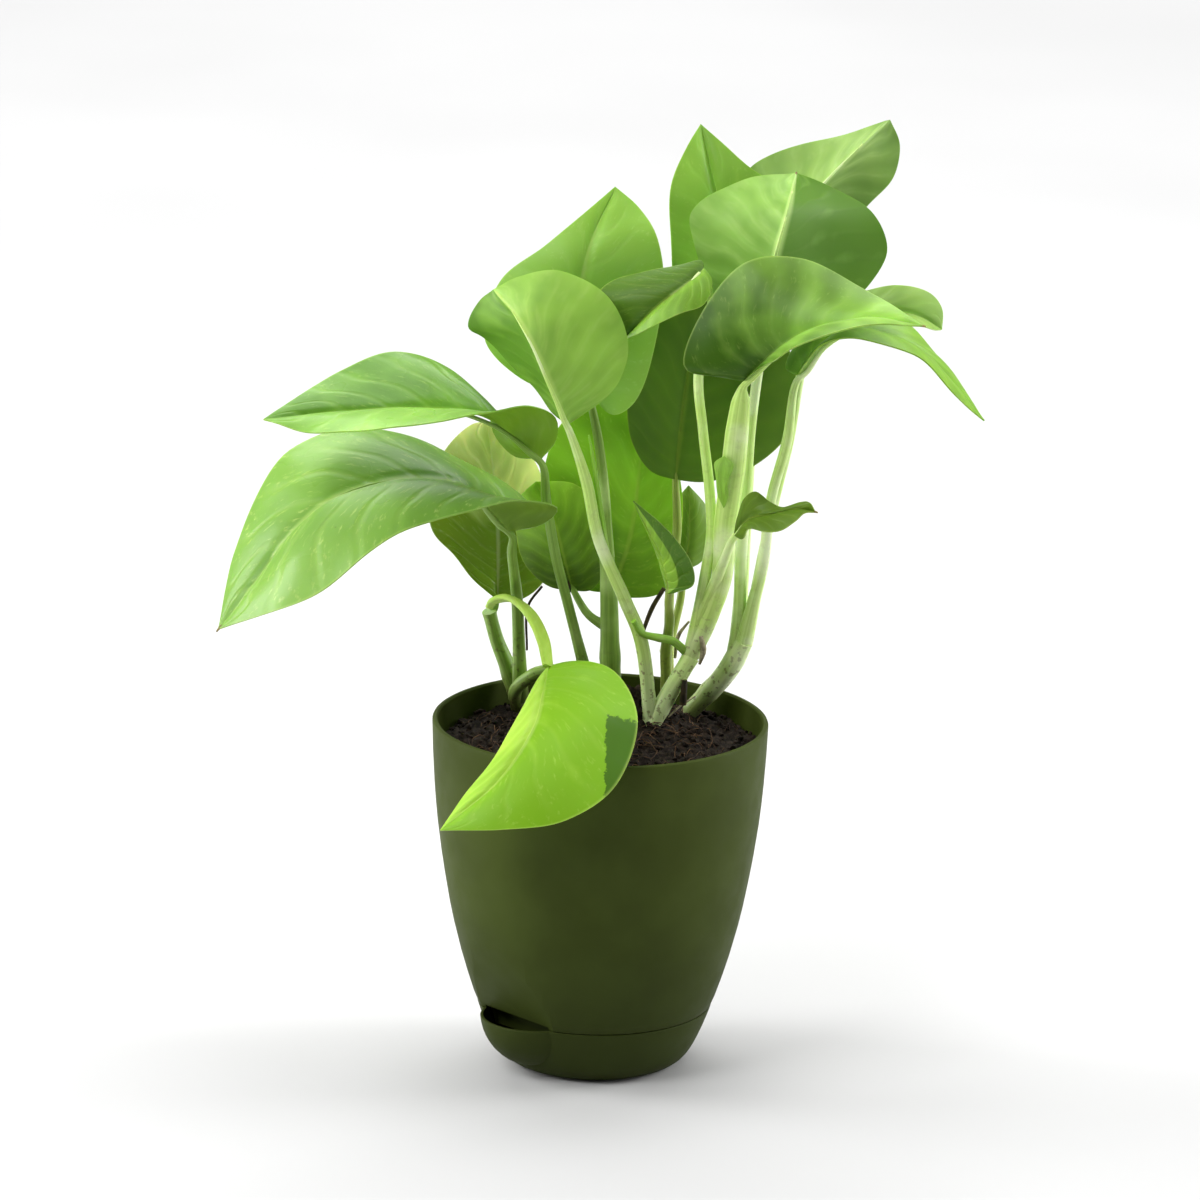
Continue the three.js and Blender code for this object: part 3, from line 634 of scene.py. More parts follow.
def vein_pattern(finish):
    """Of a place on a blade: out from the midrib, along it, which half, the count of side veins up to it, and
    how far it is from the nearest one."""
    across, along, _ = finish.apart(finish.place.outputs["UV"])
    off_rib = finish.sum("SUBTRACT", finish.sum("MULTIPLY", across, 2.0), 1.0)
    right = finish.sum("GREATER_THAN", off_rib, 0.0)
    out = finish.sum("ABSOLUTE", off_rib)
    drift = finish.noise(finish.together(out, along, right), 2.2, 0)
    phase = finish.sum("MULTIPLY_ADD", along, float(SIDE_VEINS), finish.sum("MULTIPLY", out, -VEIN_SWAY))
    phase = finish.sum("ADD", phase, finish.sum("MULTIPLY", drift, 0.9))
    phase = finish.sum("ADD", phase, finish.sum("MULTIPLY", right, 0.5))
    off_vein = finish.sum("MULTIPLY", finish.sum("PINGPONG", phase, 0.5), 2.0)
    return out, along, right, phase, off_vein


def painted_shade_zones(finish, share, pattern, shade_zones):
    """Adds painted shade to a part of the blade that stands in shade, as more of the deep tone: a half, its
    foot, its point and so on.
    """
    out, along, right, _, _ = pattern
    uneven = finish.noise(finish.place.outputs["Object"], 55, 3)
    for shade_zone, amount in shade_zones.items():
        where = {
            "left": lambda: finish.step(right, 0.4, 0.6, 1.0, 0.0),
            "right": lambda: right,
            "foot": lambda: finish.step(along, 0.1, 0.75, 1.0, 0.0),
            "point": lambda: finish.step(along, 0.45, 1.0),
            "lower": lambda: finish.step(along, 0.42, 0.66, 1.0, 0.0),
            "turned_margin": lambda: finish.sum("MULTIPLY", right, finish.step(out, 0.42, 0.5)),
        }[shade_zone]()
        patchy = finish.step(uneven, 0.25, 0.75, 0.75 * amount, 1.25 * amount)
        share = finish.sum("MULTIPLY_ADD", where, patchy, share)
    return share


def side_vein_line(finish, out, off_vein, width, at_margin):
    """A line along each side vein that fades towards the margin."""
    line = finish.step(off_vein, 0.0, width, 1.0, 0.0)
    return finish.sum("MULTIPLY", line, finish.step(out, 0.6, 1.0, at_margin, 0.0))


def leaf_upper(name, light, deep, streak, streaks, gloss, shade_zones, patch):
    """The glossy upper side: broad soft patches, faint side veins, and pale streaks that follow them."""
    finish = Finish(name, specular=0.2)
    place = finish.place.outputs["Object"]
    pattern = vein_pattern(finish)
    out, _, _, phase, off_vein = pattern
    patches = finish.noise(place, 30, 3)
    stripes = finish.step(off_vein, 0.0, 1.0, 0.0, 0.16)
    share = finish.sum("ADD", stripes, finish.step(patches, 0.3, 0.7, 0.0, 0.5))
    # Painted shade: more of the deep tone on the parts of the blade that stand in shade.
    share = painted_shade_zones(finish, share, pattern, shade_zones)
    colour = finish.blend(share, tone(*light), tone(*deep))
    along_veins = finish.together(finish.sum("MULTIPLY", out, 1.1), phase, 0.0)
    flecks = finish.step(finish.noise(along_veins, 6.0, 5, 0.65), 0.55, 0.72)
    colour = finish.blend(finish.sum("MULTIPLY", flecks, streaks), colour, tone(*streak))
    vein = side_vein_line(finish, out, off_vein, 0.3, 0.02 + 0.12 * streaks)
    colour = finish.blend(vein, colour, tone(*streak))
    rib = finish.step(out, 0.01, 0.05, 0.3, 0.0)
    colour = finish.blend(rib, colour, tone(*streak))
    if patch:
        colour = finish.blend(patch(finish), colour, tone(*PATCH_TONE))
    edge = finish.step(out, 0.97, 1.0, 0.0, 0.3)
    colour = finish.blend(edge, colour, tone(*streak))
    specks = finish.step(finish.cells(place, 75), 0.02, 0.045, 1.0, 0.0)
    specks = finish.sum("MULTIPLY", specks, finish.step(finish.noise(place, 24, 2), 0.6, 0.68))
    colour = finish.blend(finish.sum("MULTIPLY", specks, 0.8), colour, tone(*SPECK_TONE))
    pores = finish.noise(place, 900, 3)
    relief = finish.sum("ADD", finish.step(off_vein, 0.0, 0.35), finish.sum("MULTIPLY", pores, 0.15))
    relief = finish.sum("ADD", relief, finish.noise(place, 130, 3))
    rough = finish.step(patches, 0.3, 0.7, gloss, gloss + 0.1)
    crinkled = 0.45 if gloss < 0.28 else 0.18
    relief = finish.bump(relief, 0.0003, crinkled)
    return finish.set(Base_Color=colour, Roughness=rough, Normal=relief, **BLADE_DEPTH)


def leaf_under(name, light, deep, rib_tone, band_shade=0.18, shade_zones=None):
    """The matt underside: paler, with raised veins and soft bands of painted shade between them."""
    finish = Finish(name, specular=0.18)
    place = finish.place.outputs["Object"]
    pattern = vein_pattern(finish)
    out, _, _, phase, off_vein = pattern
    patches = finish.noise(place, 36, 3)
    # Painted shade: bands of the deep tone in the hollows between the raised side veins.
    shade_bands = finish.step(off_vein, 0.1, 0.95, 0.0, band_shade)
    share = finish.sum("ADD", shade_bands, finish.step(patches, 0.3, 0.7, 0.0, 0.45))
    # Painted shade: more of the deep tone on the parts of the blade that stand in shade.
    share = painted_shade_zones(finish, share, pattern, shade_zones or {})
    colour = finish.blend(share, tone(*light), tone(*deep))
    along_veins = finish.together(finish.sum("MULTIPLY", out, 1.1), phase, 0.0)
    flecks = finish.step(finish.noise(along_veins, 2.2, 2, 0.5), 0.45, 0.8, 0.0, 0.35)
    pale_parts = finish.step(share, 0.2, 0.9, 1.0, 0.0)
    colour = finish.blend(finish.sum("MULTIPLY", flecks, pale_parts), colour, tone(*rib_tone))
    vein = side_vein_line(finish, out, off_vein, 0.25, 0.1)
    vein = finish.sum("MULTIPLY", vein, finish.step(pale_parts, 0.0, 1.0, 0.25, 1.0))
    colour = finish.blend(vein, colour, tone(*rib_tone))
    rib = finish.step(out, 0.02, 0.07, 0.7, 0.0)
    colour = finish.blend(rib, colour, tone(*rib_tone))
    relief = finish.sum("ADD", finish.step(off_vein, 0.0, 0.35, 1.0, 0.0), finish.noise(place, 130, 3))
    relief = finish.sum("ADD", relief, finish.sum("MULTIPLY", finish.noise(place, 700, 3), 0.2))
    rough = finish.step(patches, 0.3, 0.7, 0.42, 0.55)
    relief = finish.bump(relief, 0.0003, 0.16)
    return finish.set(Base_Color=colour, Roughness=rough, Normal=relief, **BLADE_DEPTH)


def margin_patch(finish):
    """Share of the deep green patch at the front leaf's broad half, ragged at its inner edge."""
    place = finish.place.outputs["Object"]
    x, _, z = finish.apart(place)
    ragged = finish.sum("MULTIPLY", finish.noise(place, 420, 4, 0.7), 0.004)
    inner = finish.step(finish.sum("ADD", x, ragged), PATCH_SIDE, PATCH_SIDE + 0.0004)
    level = finish.sum("MULTIPLY_ADD", x, 0.15, finish.sum("ADD", z, ragged))
    return finish.sum("MULTIPLY", inner, finish.step(level, PATCH_TOP, PATCH_TOP + 0.0006, 1.0, 0.0))


def dry_skin(name, dark, pale):
    """Dried leaf tips, scales and roots."""
    finish = Finish(name, specular=0.3)
    shade = finish.noise(finish.place.outputs["Object"], 500, 3)
    colour = finish.blend(finish.step(shade, 0.35, 0.65), tone(*dark), tone(*pale))
    return finish.set(Base_Color=colour, Roughness=finish.step(shade, 0.3, 0.7, 0.6, 0.8))


# The pot

def turned(name, profile, steps=ROUND_STEPS):
    """A closed round solid from (radius, height) points in millimetres, extruded ring by ring."""
    start_fresh()
    radius, height = profile[0]
    bpy.ops.mesh.primitive_circle_add(
        vertices=steps, radius=radius * MM, fill_type="NGON", location=(0, 0, height * MM),
    )
    piece = bpy.context.object
    piece.name = name
    bake_place(piece)
    bpy.ops.object.mode_set(mode="EDIT")
    bpy.ops.mesh.select_all(action="SELECT")
    for next_radius, next_height in profile[1:]:
        rise = (0, 0, (next_height - height) * MM)
        bpy.ops.mesh.extrude_region_move(TRANSFORM_OT_translate={"value": rise})
        growth = next_radius / radius
        centre = (0, 0, next_height * MM)
        bpy.ops.transform.resize(value=(growth, growth, 1), center_override=centre)
        radius, height = next_radius, next_height
    bpy.ops.mesh.select_all(action="SELECT")
    face_outwards()
    bpy.ops.object.mode_set(mode="OBJECT")
    return piece


def block(name, size, middle):
    """A box in millimetres, used as a cutting tool."""
    start_fresh()
    bpy.ops.mesh.primitive_cube_add(size=1, location=[value * MM for value in middle])
    piece = bpy.context.object
    piece.name = name
    piece.scale = [value * MM for value in size]
    bake_place(piece)
    return piece


def turn_in_place(piece, matrix):
    piece.data.transform(matrix)
    piece.data.update()
    return piece


def filling_room(depth):
    """Everything beyond the leaning flat, and the alcove under it, both moved inwards by depth."""
    beyond = block("beyond_flat", (BEYOND, BEYOND, BEYOND), (BEYOND / 2, 0, 0))
    shift = (FILL_FLAT_DISTANCE - depth / math.cos(FILL_FLAT_LEAN)) * MM
    lean = Matrix.Rotation(FILL_FLAT_LEAN, 4, "Y")
    place = Matrix.Translation((shift, 0, (SEAM_HEIGHT + GAP) * MM))
    turn = Matrix.Rotation(FILL_AZIMUTH, 4, "Z")
    turn_in_place(beyond, turn @ place @ lean)
    middle = (ALCOVE_DISTANCE - depth + BEYOND / 2, 0, ALCOVE_TOP + depth - BEYOND / 2)
    alcove = block("alcove", (BEYOND, ALCOVE_WIDTH + 2 * depth, BEYOND), middle)
    turn_in_place(alcove, turn)
    cut(beyond, alcove, "UNION")
    return beyond


def inside_profile(clearance):
    """What the pot body holds, moved inwards by a clearance."""
    wall = WALL + clearance
    floor = FLOOR_UNDERSIDE + wall
    upper = [(radius - wall, height) for radius, height in FOLLOWED_WALL]
    return [
        (FOOT_RADIUS - wall, WALL + GAP + wall),
        (FOOT_RADIUS - wall, floor),
        (SPIGOT_RADIUS - SPIGOT_TAPER - wall, floor),
        (SPIGOT_RADIUS - wall, SEAM_HEIGHT + clearance),
        (SEAM_RADIUS - wall, SEAM_HEIGHT + wall + 1),
        *upper,
    ]


def make_pot_body(plastic):
    """The pot body: turned outside and inside, with the scooped flat, filling mouth and slotted foot."""
    body = turned("pot_body_fine", [
        (FOOT_RADIUS, WALL + GAP),
        (FOOT_RADIUS, FLOOR_UNDERSIDE),
        (SPIGOT_RADIUS - SPIGOT_TAPER, FLOOR_UNDERSIDE),
        (SPIGOT_RADIUS, SEAM_HEIGHT + GAP),
        (SEAM_RADIUS - 0.3, SEAM_HEIGHT + GAP),
        (SEAM_RADIUS, SEAM_HEIGHT + GAP + 0.3),
        *BODY_WALL[1:],
        (RIM_RADIUS - 3, POT_HEIGHT),
    ])
    inside = turned("pot_inside", [
        *inside_profile(0),
        (RIM_RADIUS - WALL, 125.4),
        (RIM_RADIUS - WALL + 0.7, 126.2),
        (RIM_RADIUS - WALL + 0.7, 127),
    ])
    cut(body, filling_room(0))
    cut(inside, filling_room(WALL))
    cut(body, inside)
    for turn in (0, math.pi / 2):
        size = (4 * FOOT_RADIUS, FOOT_SLOT_WIDTH, FOOT_SLOT_HEIGHT)
        slot = block("slot", size, (0, 0, FOOT_SLOT_MIDDLE))
        cut(body, turn_in_place(slot, Matrix.Rotation(turn, 4, "Z")))
    smooth(body, 25)
    return finish_piece(body, "pot_plastic", plastic, "pot_body")


def make_pot_reservoir(plastic, inside_shade):
    """The cup under the body, with its filling lip; its inner wall is painted dark for the shade inside it.
    """
    cup = turned("pot_reservoir_fine", [
        (28.4, 0.5), (28.8, 0.1), (29.2, 0), (30, 0.15), (31.2, 0.7), (33, 2), (34.8, 4), (36.6, 7),
        (38, 10), (39.6, 13.7), (41, 17.4), (42.1, 20.6), (SEAM_RADIUS - 0.3, SEAM_HEIGHT),
        (38, SEAM_HEIGHT),
    ])
    inside = turned("cup_inside", [
        (30.6, WALL), (33.2, 5), (36.1, 10.6), (39, 17.8), (SEAM_RADIUS - WALL + 0.3, SEAM_HEIGHT + 1),
    ])
    lip_profile = [
        (4, 3.6), (8, 4.5), (10.8, 5.8), (13, 7.5), (15, 9.5), (16.5, 11.5), (17.8, 13.8), (18.7, 16),
        (19.4, 18.6), (LIP_RADIUS - 0.1, 20.7), (LIP_RADIUS - 0.4, SEAM_HEIGHT), (17, SEAM_HEIGHT),
    ]
    lip_inside_profile = [
        (4, 4.9), (7.5, 5.7), (10.2, 7), (12.1, 8.5), (14, 10.3), (15.5, 12.2), (16.8, 14.4), (17.6, 16.4),
        (18.3, 19), (LIP_RADIUS - LIP_WALL, 20.7), (LIP_RADIUS - LIP_WALL + 0.3, SEAM_HEIGHT + 1),
    ]
    place = Matrix.Rotation(FILL_AZIMUTH, 4, "Z") @ Matrix.Translation((LIP_CENTRE_DISTANCE * MM, 0, 0))
    lip = turn_in_place(turned("lip", lip_profile, LIP_STEPS), place)
    lip_inside = turn_in_place(turned("lip_inside", lip_inside_profile, LIP_STEPS), place)
    cut(cup, lip, "UNION")
    cut(cup, inside)
    cut(cup, lip_inside)
    smooth(cup, 25)
    finish_piece(cup, "pot_plastic", plastic, "pot_reservoir")
    cup.data.materials.append(inside_shade)
    # Painted shade: faces low in the cup that look inwards take the dark inside finish.
    for face in cup.data.polygons:
        outward = face.center.copy()
        outward.z = 0
        if face.normal.dot(outward.normalized()) < INSIDE_SHADE_FACING and face.center.z < INSIDE_SHADE_LEVEL * MM:
            face.material_index = 1
    return cup


# The soil

def soil_top(x, y):
    """Height of the soil at a place, in millimetres: a low mound round the stems, and lumps."""
    away = ((x - MOUND_X) ** 2 + (y - MOUND_Y) ** 2) / (2 * MOUND_SPREAD ** 2)
    lumps = math.sin(0.41 * x + 1) * math.cos(0.37 * y) + 0.6 * math.sin(0.9 * x - 0.7 * y)
    rough = noise.fractal(Vector((0.22 * x, 0.22 * y, 3)), 0.7, 2.1, 5)
    return SOIL_HEIGHT + MOUND_HEIGHT * math.exp(-away) + 0.9 * lumps + 1.3 * rough


def make_soil(earth):
    """The soil: it fills the pot below, and its top is a disc of rings that takes the heights of the soil."""
    edge = RADIUS_AT_SOIL - WALL - GAP
    rings = [(edge * (1 - i / SOIL_RINGS), POT_HEIGHT) for i in range(1, SOIL_RINGS)]
    below = inside_profile(GAP)[:-2]
    body = turned("soil_fine", [*below, (edge, SOIL_HEIGHT - 1), *rings], SOIL_STEPS)
    cut(body, filling_room(WALL + GAP))
    for vertex in body.data.vertices:
        if vertex.co.z > (POT_HEIGHT - 1) * MM:
            x, y = vertex.co.x / MM, vertex.co.y / MM
            vertex.co.z = soil_top(x, y) * MM
    smooth(body, 60)
    return finish_piece(body, "soil", earth, "soil")


def scattered(count, seed, reach):
    """Places on the soil, and the dice for what is put there."""
    dice = random.Random(seed)
    places = []
    while len(places) < count:
        x, y = dice.uniform(-reach, reach), dice.uniform(-reach, reach)
        if x * x + y * y < reach * reach:
            places.append((x, y, soil_top(x, y)))
    return places, dice


def make_crumbs(earth):
    """Loose crumbs of peat: three lumps, copied over the soil."""
    lumps = []
    for kind in range(3):
        start_fresh()
        bpy.ops.mesh.primitive_ico_sphere_add(subdivisions=1, radius=1)
        lump = bpy.context.object
        for vertex in lump.data.vertices:
            vertex.co *= 1 + 0.5 * noise.noise(vertex.co * 1.3 + Vector((kind * 7, 0, 0)))
            vertex.co.z *= 0.7
        lumps.append(lump)
    places, dice = scattered(CRUMB_COUNT, CRUMB_SEED, CRUMB_REACH)
    copies = []
    for number, (x, y, z) in enumerate(places):
        copy = bpy.data.objects.new("crumb", lumps[number % 3].data.copy())
        bpy.context.collection.objects.link(copy)
        size = dice.uniform(0.4, 1.3) ** 1.6
        angle, axis = dice.uniform(0, 6.28), Vector((dice.random(), dice.random(), 1)).normalized()
        place = Matrix.Translation((x * MM, y * MM, (z + 0.3 * size) * MM))
        copy.data.transform(place @ Matrix.Rotation(angle, 4, axis) @ Matrix.Scale(size * MM, 4))
        copies.append(copy)
    for lump in lumps:
        bpy.data.objects.remove(lump)
    crumbs = join("soil_crumbs", copies)
    smooth(crumbs, 50)
    return finish_piece(crumbs, "soil", earth)


def make_clump(earth):
    """The lump of peat that clings to the foot of the middle stems."""
    start_fresh()
    bpy.ops.mesh.primitive_ico_sphere_add(subdivisions=5, radius=1)
    clump = bpy.context.object
    clump.name = "soil_clump"
    for vertex in clump.data.vertices:
        lumps = noise.fractal(vertex.co * 1.7, 0.8, 2.1, 5)
        vertex.co *= 1 + 0.42 * lumps
        x, y, z = (vertex.co[i] * CLUMP_SIZE[i] + CLUMP_MIDDLE[i] for i in range(3))
        vertex.co = Vector((x, y, z)) * MM
    smooth(clump, 50)
    return finish_piece(clump, "soil", earth)


def make_fibres(fibre):
    """Bent coco fibres that lie on the soil."""
    places, dice = scattered(FIBRE_COUNT, FIBRE_SEED, FIBRE_REACH)
    strands = []
    for x, y, _ in places:
        turn, bend = dice.uniform(0, 6.28), dice.uniform(-0.9, 0.9)
        length, points = dice.uniform(5, 17), []
        for i in range(5):
            lift = dice.uniform(0.1, 1.1) + (1.2 if i in (1, 3) else 0)
            points.append((x, y, soil_top(x, y) + lift, FIBRE_RADIUS))
            x += length / 4 * math.cos(turn)
            y += length / 4 * math.sin(turn)
            turn += bend * 0.5
            if x * x + y * y > 55 ** 2:
                break
        if len(points) > 2:
            strands.append(tube(points, sides=5, ring_step=2.2))
    fibres = join("soil_fibres", strands)
    smooth(fibres, 60)
    return finish_piece(fibres, "soil", fibre)


# The stalks

def radius_at(points, share):
    """The radius at a share of the length of (x, y, z, radius) points."""
    lengths = [0.0]
    for one, other in zip(points, points[1:]):
        lengths.append(lengths[-1] + math.dist(one[:3], other[:3]))
    target = share * lengths[-1]
    for i in range(1, len(points)):
        if target <= lengths[i] or i == len(points) - 1:
            part = min(1, (target - lengths[i - 1]) / (lengths[i] - lengths[i - 1]))
            return points[i - 1][3] + (points[i][3] - points[i - 1][3]) * part


def tube(points, sides=STALK_SIDES, ring_step=STALK_RING_STEP, shape=None):
    """A closed tapering tube: a flat grid rolled up along the course of (x, y, z, radius) points."""
    course = Course(points)
    rings = max(3, round(course.length / ring_step))
    start_fresh()
    bpy.ops.mesh.primitive_grid_add(x_subdivisions=sides, y_subdivisions=rings, size=1, calc_uvs=True)
    piece = bpy.context.object
    frames, side = [], None
    for ring in range(rings + 1):
        share = ring / rings
        heading = course.heading(share)
        if side is None:
            side = heading.cross(Vector((0, 1, 0.2))).normalized()
        side = (side - heading * side.dot(heading)).normalized()
        frames.append((course.at(share), side, heading.cross(side), radius_at(points, share)))
    for vertex in piece.data.vertices:
        angle = 2 * math.pi * (vertex.co.x + 0.5)
        ring = round((vertex.co.y + 0.5) * rings)
        centre, across, up, radius = frames[ring]
        wide, high = shape(ring / rings, angle) if shape else (1, 1)
        out = across * math.cos(angle) * radius * wide + up * math.sin(angle) * radius * high
        vertex.co = (centre + out) * MM
    edit(piece, lambda: merge_doubles(0.004), lambda: bpy.ops.mesh.fill_holes(sides=sides), face_outwards)
    return piece


def stem_shape(share, angle):
    """Swollen joints along a stem, and a slightly uneven round."""
    joints = 0.10 * max(0, math.cos(share * 4 * math.pi)) ** 6
    uneven = 0.04 * math.sin(3 * angle + 7 * share)
    return 1 + joints + uneven, 1 + joints - uneven


def stalk_shape(share, angle):
    """A stalk is broad at its foot and slightly grooved."""
    foot = 0.25 * max(0, 1 - share / 0.12)
    groove = 0.10 * max(0, math.sin(angle)) ** 4
    return 1.04 + foot, 0.96 + foot - groove


def stalk_into_rib(name, points):
    """A stalk that runs on as the ridge under the midrib of its blade."""
    rib = RIBS[name]
    run = list(points)
    foot = Vector(BLADES[name]["rib"][0])
    last = Vector(points[-1][:3])
    near = foot + (last - foot).normalized() * 2.5
    if (last - foot).length > 5:
        run.append((*near, 1.25))
    for share, radius in RIDGE.items():
        place, upper = rib[share]
        run.append((*(place - upper * (0.3 + 0.35 * radius)), radius))
    return tube(run, shape=stalk_shape)


def make_vine(name, skin, shoot_skin):
    """A vine: its stem, its side shoot and the stalks of its blades."""
    vine = VINES[name]
    parts = [tube(points, shape=stem_shape) for points in vine["stems"]]
    parts += [stalk_into_rib(blade, points) for blade, points in vine["stalks"].items()]
    for number, part in enumerate(parts):
        part.data.materials.append(shoot_skin if (name, number) == GREEN_SHOOT else skin)
    whole = join(name + "_fine", parts)
    smooth(whole, 60)
    return hang(whole, "stalk", name)


# The blades

def blade_surface(spec):
    """The middle surface of a blade as a function of across (-1 left margin, 1 right) and along."""
    rib = Course(spec["rib"])
    margins = {}
    for side, key in ((-1, "left"), (1, "right")):
        margins[side] = Course([spec["rib"][0], *spec[key], spec["rib"][-1]])
    wave_phase = sum(spec["rib"][0])

    def surface(across, along):
        side = 1 if across >= 0 else -1
        out = abs(across)
        share = along ** BLADE_SWEEP
        start = rib.at(share)
        reach = margins[side].at(along) - start
        upper = reach.cross(rib.heading(share)) * side
        upper = upper.normalized() if upper.length > 1e-6 else Vector((0, 0, 0))
        width = reach.length
        rise = BLADE_CROWN * width * 2 * out * (1 - out)
        channel = -0.7 * math.exp(-(out * width / 1.5) ** 2) * min(1, width / 8)
        ripple = 0.022 * width * out ** 3 * math.sin(17 * along + wave_phase + side)
        point = start + reach * out
        uneven = 0.7 * noise.noise(point * 0.06) * min(1, width / 10)
        phase = along * SIDE_VEINS - VEIN_SWAY * out + (0.5 if side > 0 else 0) + 0.4
        quilt = QUILT_RELIEF * abs(math.sin(math.pi * phase)) * 4 * out * (1 - out) * min(1, width / 20)
        return point + upper * (rise + channel + ripple + uneven + quilt), upper

    return surface


def rib_places():
    """Places along each midrib, with the way up, for the ridges underneath."""
    places = {}
    for name, spec in BLADES.items():
        surface = blade_surface(spec)
        places[name] = {}
        for share in RIDGE:
            along = share ** (1 / BLADE_SWEEP)
            place, _ = surface(0, along)
            _, upper_right = surface(0.001, along)
            _, upper_left = surface(-0.001, along)
            places[name][share] = (place, (upper_right + upper_left).normalized())
    return places


def blade_sheet(name, spec, lanes, stations, thickness, finishes):
    """A blade: a grid laid on its surface, made thick, with the underside in its own finish."""
    surface = blade_surface(spec)
    start_fresh()
    bpy.ops.mesh.primitive_grid_add(
        x_subdivisions=2 * lanes, y_subdivisions=stations, size=1, calc_uvs=True,
    )
    sheet = bpy.context.object
    sheet.name = name
    for vertex in sheet.data.vertices:
        point, _ = surface(2 * vertex.co.x, vertex.co.y + 0.5)
        vertex.co = point * MM
    edit(sheet, merge_doubles)
    for finish in finishes:
        sheet.data.materials.append(finish)
    apply_modifier(sheet, "SOLIDIFY", thickness=thickness * MM, offset=0, material_offset=1)
    return sheet


def tip_nub(spec, finish):
    """The dried point at the tip of a blade."""
    rib = Course(spec["rib"])
    back, tip, heading = rib.at(0.985), rib.at(1), rib.heading(1)
    near, end = tip + heading * 0.5, tip + heading + Vector((0, 0, -0.2))
    nub = tube([(*back, 0.45), (*tip, 0.42), (*near, 0.38), (*end, 0.2)], sides=REMNANT_SIDES, ring_step=0.4)
    nub.data.materials.append(finish)
    return nub


def channel_shape(share, angle):
    """The front leaf's stalk is a flat channel."""
    return 1.15, 0.75 - 0.3 * abs(math.sin(angle)) ** 6


def make_blade(name, slot, finishes, dry):
    """A blade with its dried tip, and the front leaf's stalk, which is of one piece with it."""
    spec = BLADES[name]
    pieces = [blade_sheet(name + "_fine", spec, BLADE_LANES, BLADE_STATIONS, BLADE_THICKNESS, finishes)]
    if name in DRIED_TIPS:
        pieces.append(tip_nub(spec, dry))
    if name == "leaf_front_low":
        stalk = tube(FRONT_STALK, shape=channel_shape)
        stalk.data.materials.append(finishes[1])
        pieces.append(stalk)
    blade = join(name + "_fine", pieces)
    smooth(blade, 60)
    return hang(blade, slot, name)


def make_remnants(green, dry, dark):
    """Thin roots and dried sheaths among the stems, and the green flap on the broad stalk."""
    pieces = []
    for points, finish in ((ROOTS, dark), (SHEATHS, dry)):
        for run in points:
            piece = tube(run, sides=REMNANT_SIDES, ring_step=REMNANT_RING_STEP)
            piece.data.materials.append(finish)
            pieces.append(piece)
    wing = tube(STALK_WING, sides=REMNANT_SIDES, ring_step=REMNANT_RING_STEP)
    wing.data.materials.append(green)
    flap = blade_sheet("stalk_flap", STALK_FLAP, 5, 20, 0.4, [green, green])
    whole = join("stem_remnants", [*pieces, wing, flap])
    smooth(whole, 60)
    return hang(whole, "stalk")


# The scene

def area_light(name, place, aim, size, power):
    data = bpy.data.lights.new(name, "AREA")
    data.shape = "RECTANGLE"
    data.size, data.size_y = size
    data.energy = power
    light = bpy.data.objects.new(name, data)
    bpy.context.scene.collection.objects.link(light)
    light.location = place
    light.rotation_euler = (Vector(aim) - Vector(place)).to_track_quat("-Z", "Y").to_euler()


def set_camera():
    """The photograph's camera: far away, 15.7 degrees down, turned 1.3 degrees."""
    data = bpy.data.cameras.new("camera")
    data.lens, data.sensor_width = CAMERA_LENS, 36
    data.clip_start, data.clip_end = 0.1, 50
    camera = bpy.data.objects.new("camera", data)
    bpy.context.scene.collection.objects.link(camera)
    turn = Matrix.Rotation(math.pi / 2 - CAMERA_PITCH, 4, "X") @ Matrix.Rotation(CAMERA_ROLL, 4, "Z")
    camera.matrix_world = Matrix.Translation(Vector(CAMERA_PLACE) * MM) @ turn
    bpy.context.scene.camera = camera


def set_studio():
    """A pale paper floor, soft panels and a little light from the air."""
    start_fresh()
    bpy.ops.mesh.primitive_plane_add(size=14, location=(0, 0, -0.0005))
    floor = bpy.context.object
    floor.name = "studio_floor"
    finish = Finish("studio_paper", roughness=0.9, specular=0.1)
    shade = finish.noise(finish.place.outputs["Object"], 3, 2)
    colour = finish.blend(finish.step(shade, 0.3, 0.7), tone(206, 206, 206), tone(202, 202, 202))
    floor.data.materials.append(finish.set(Base_Color=colour))
    world = bpy.data.worlds.new("studio_air")
    world.use_nodes = True
    air = world.node_tree.nodes["Background"]
    air.inputs["Color"].default_value = (1, 1, 1, 1)
    air.inputs["Strength"].default_value = AIR_STRENGTH
    bpy.context.scene.world = world
    bpy.context.scene.view_settings.view_transform = "Standard"
    for name, settings in LIGHTS.items():
        area_light(name, *settings)
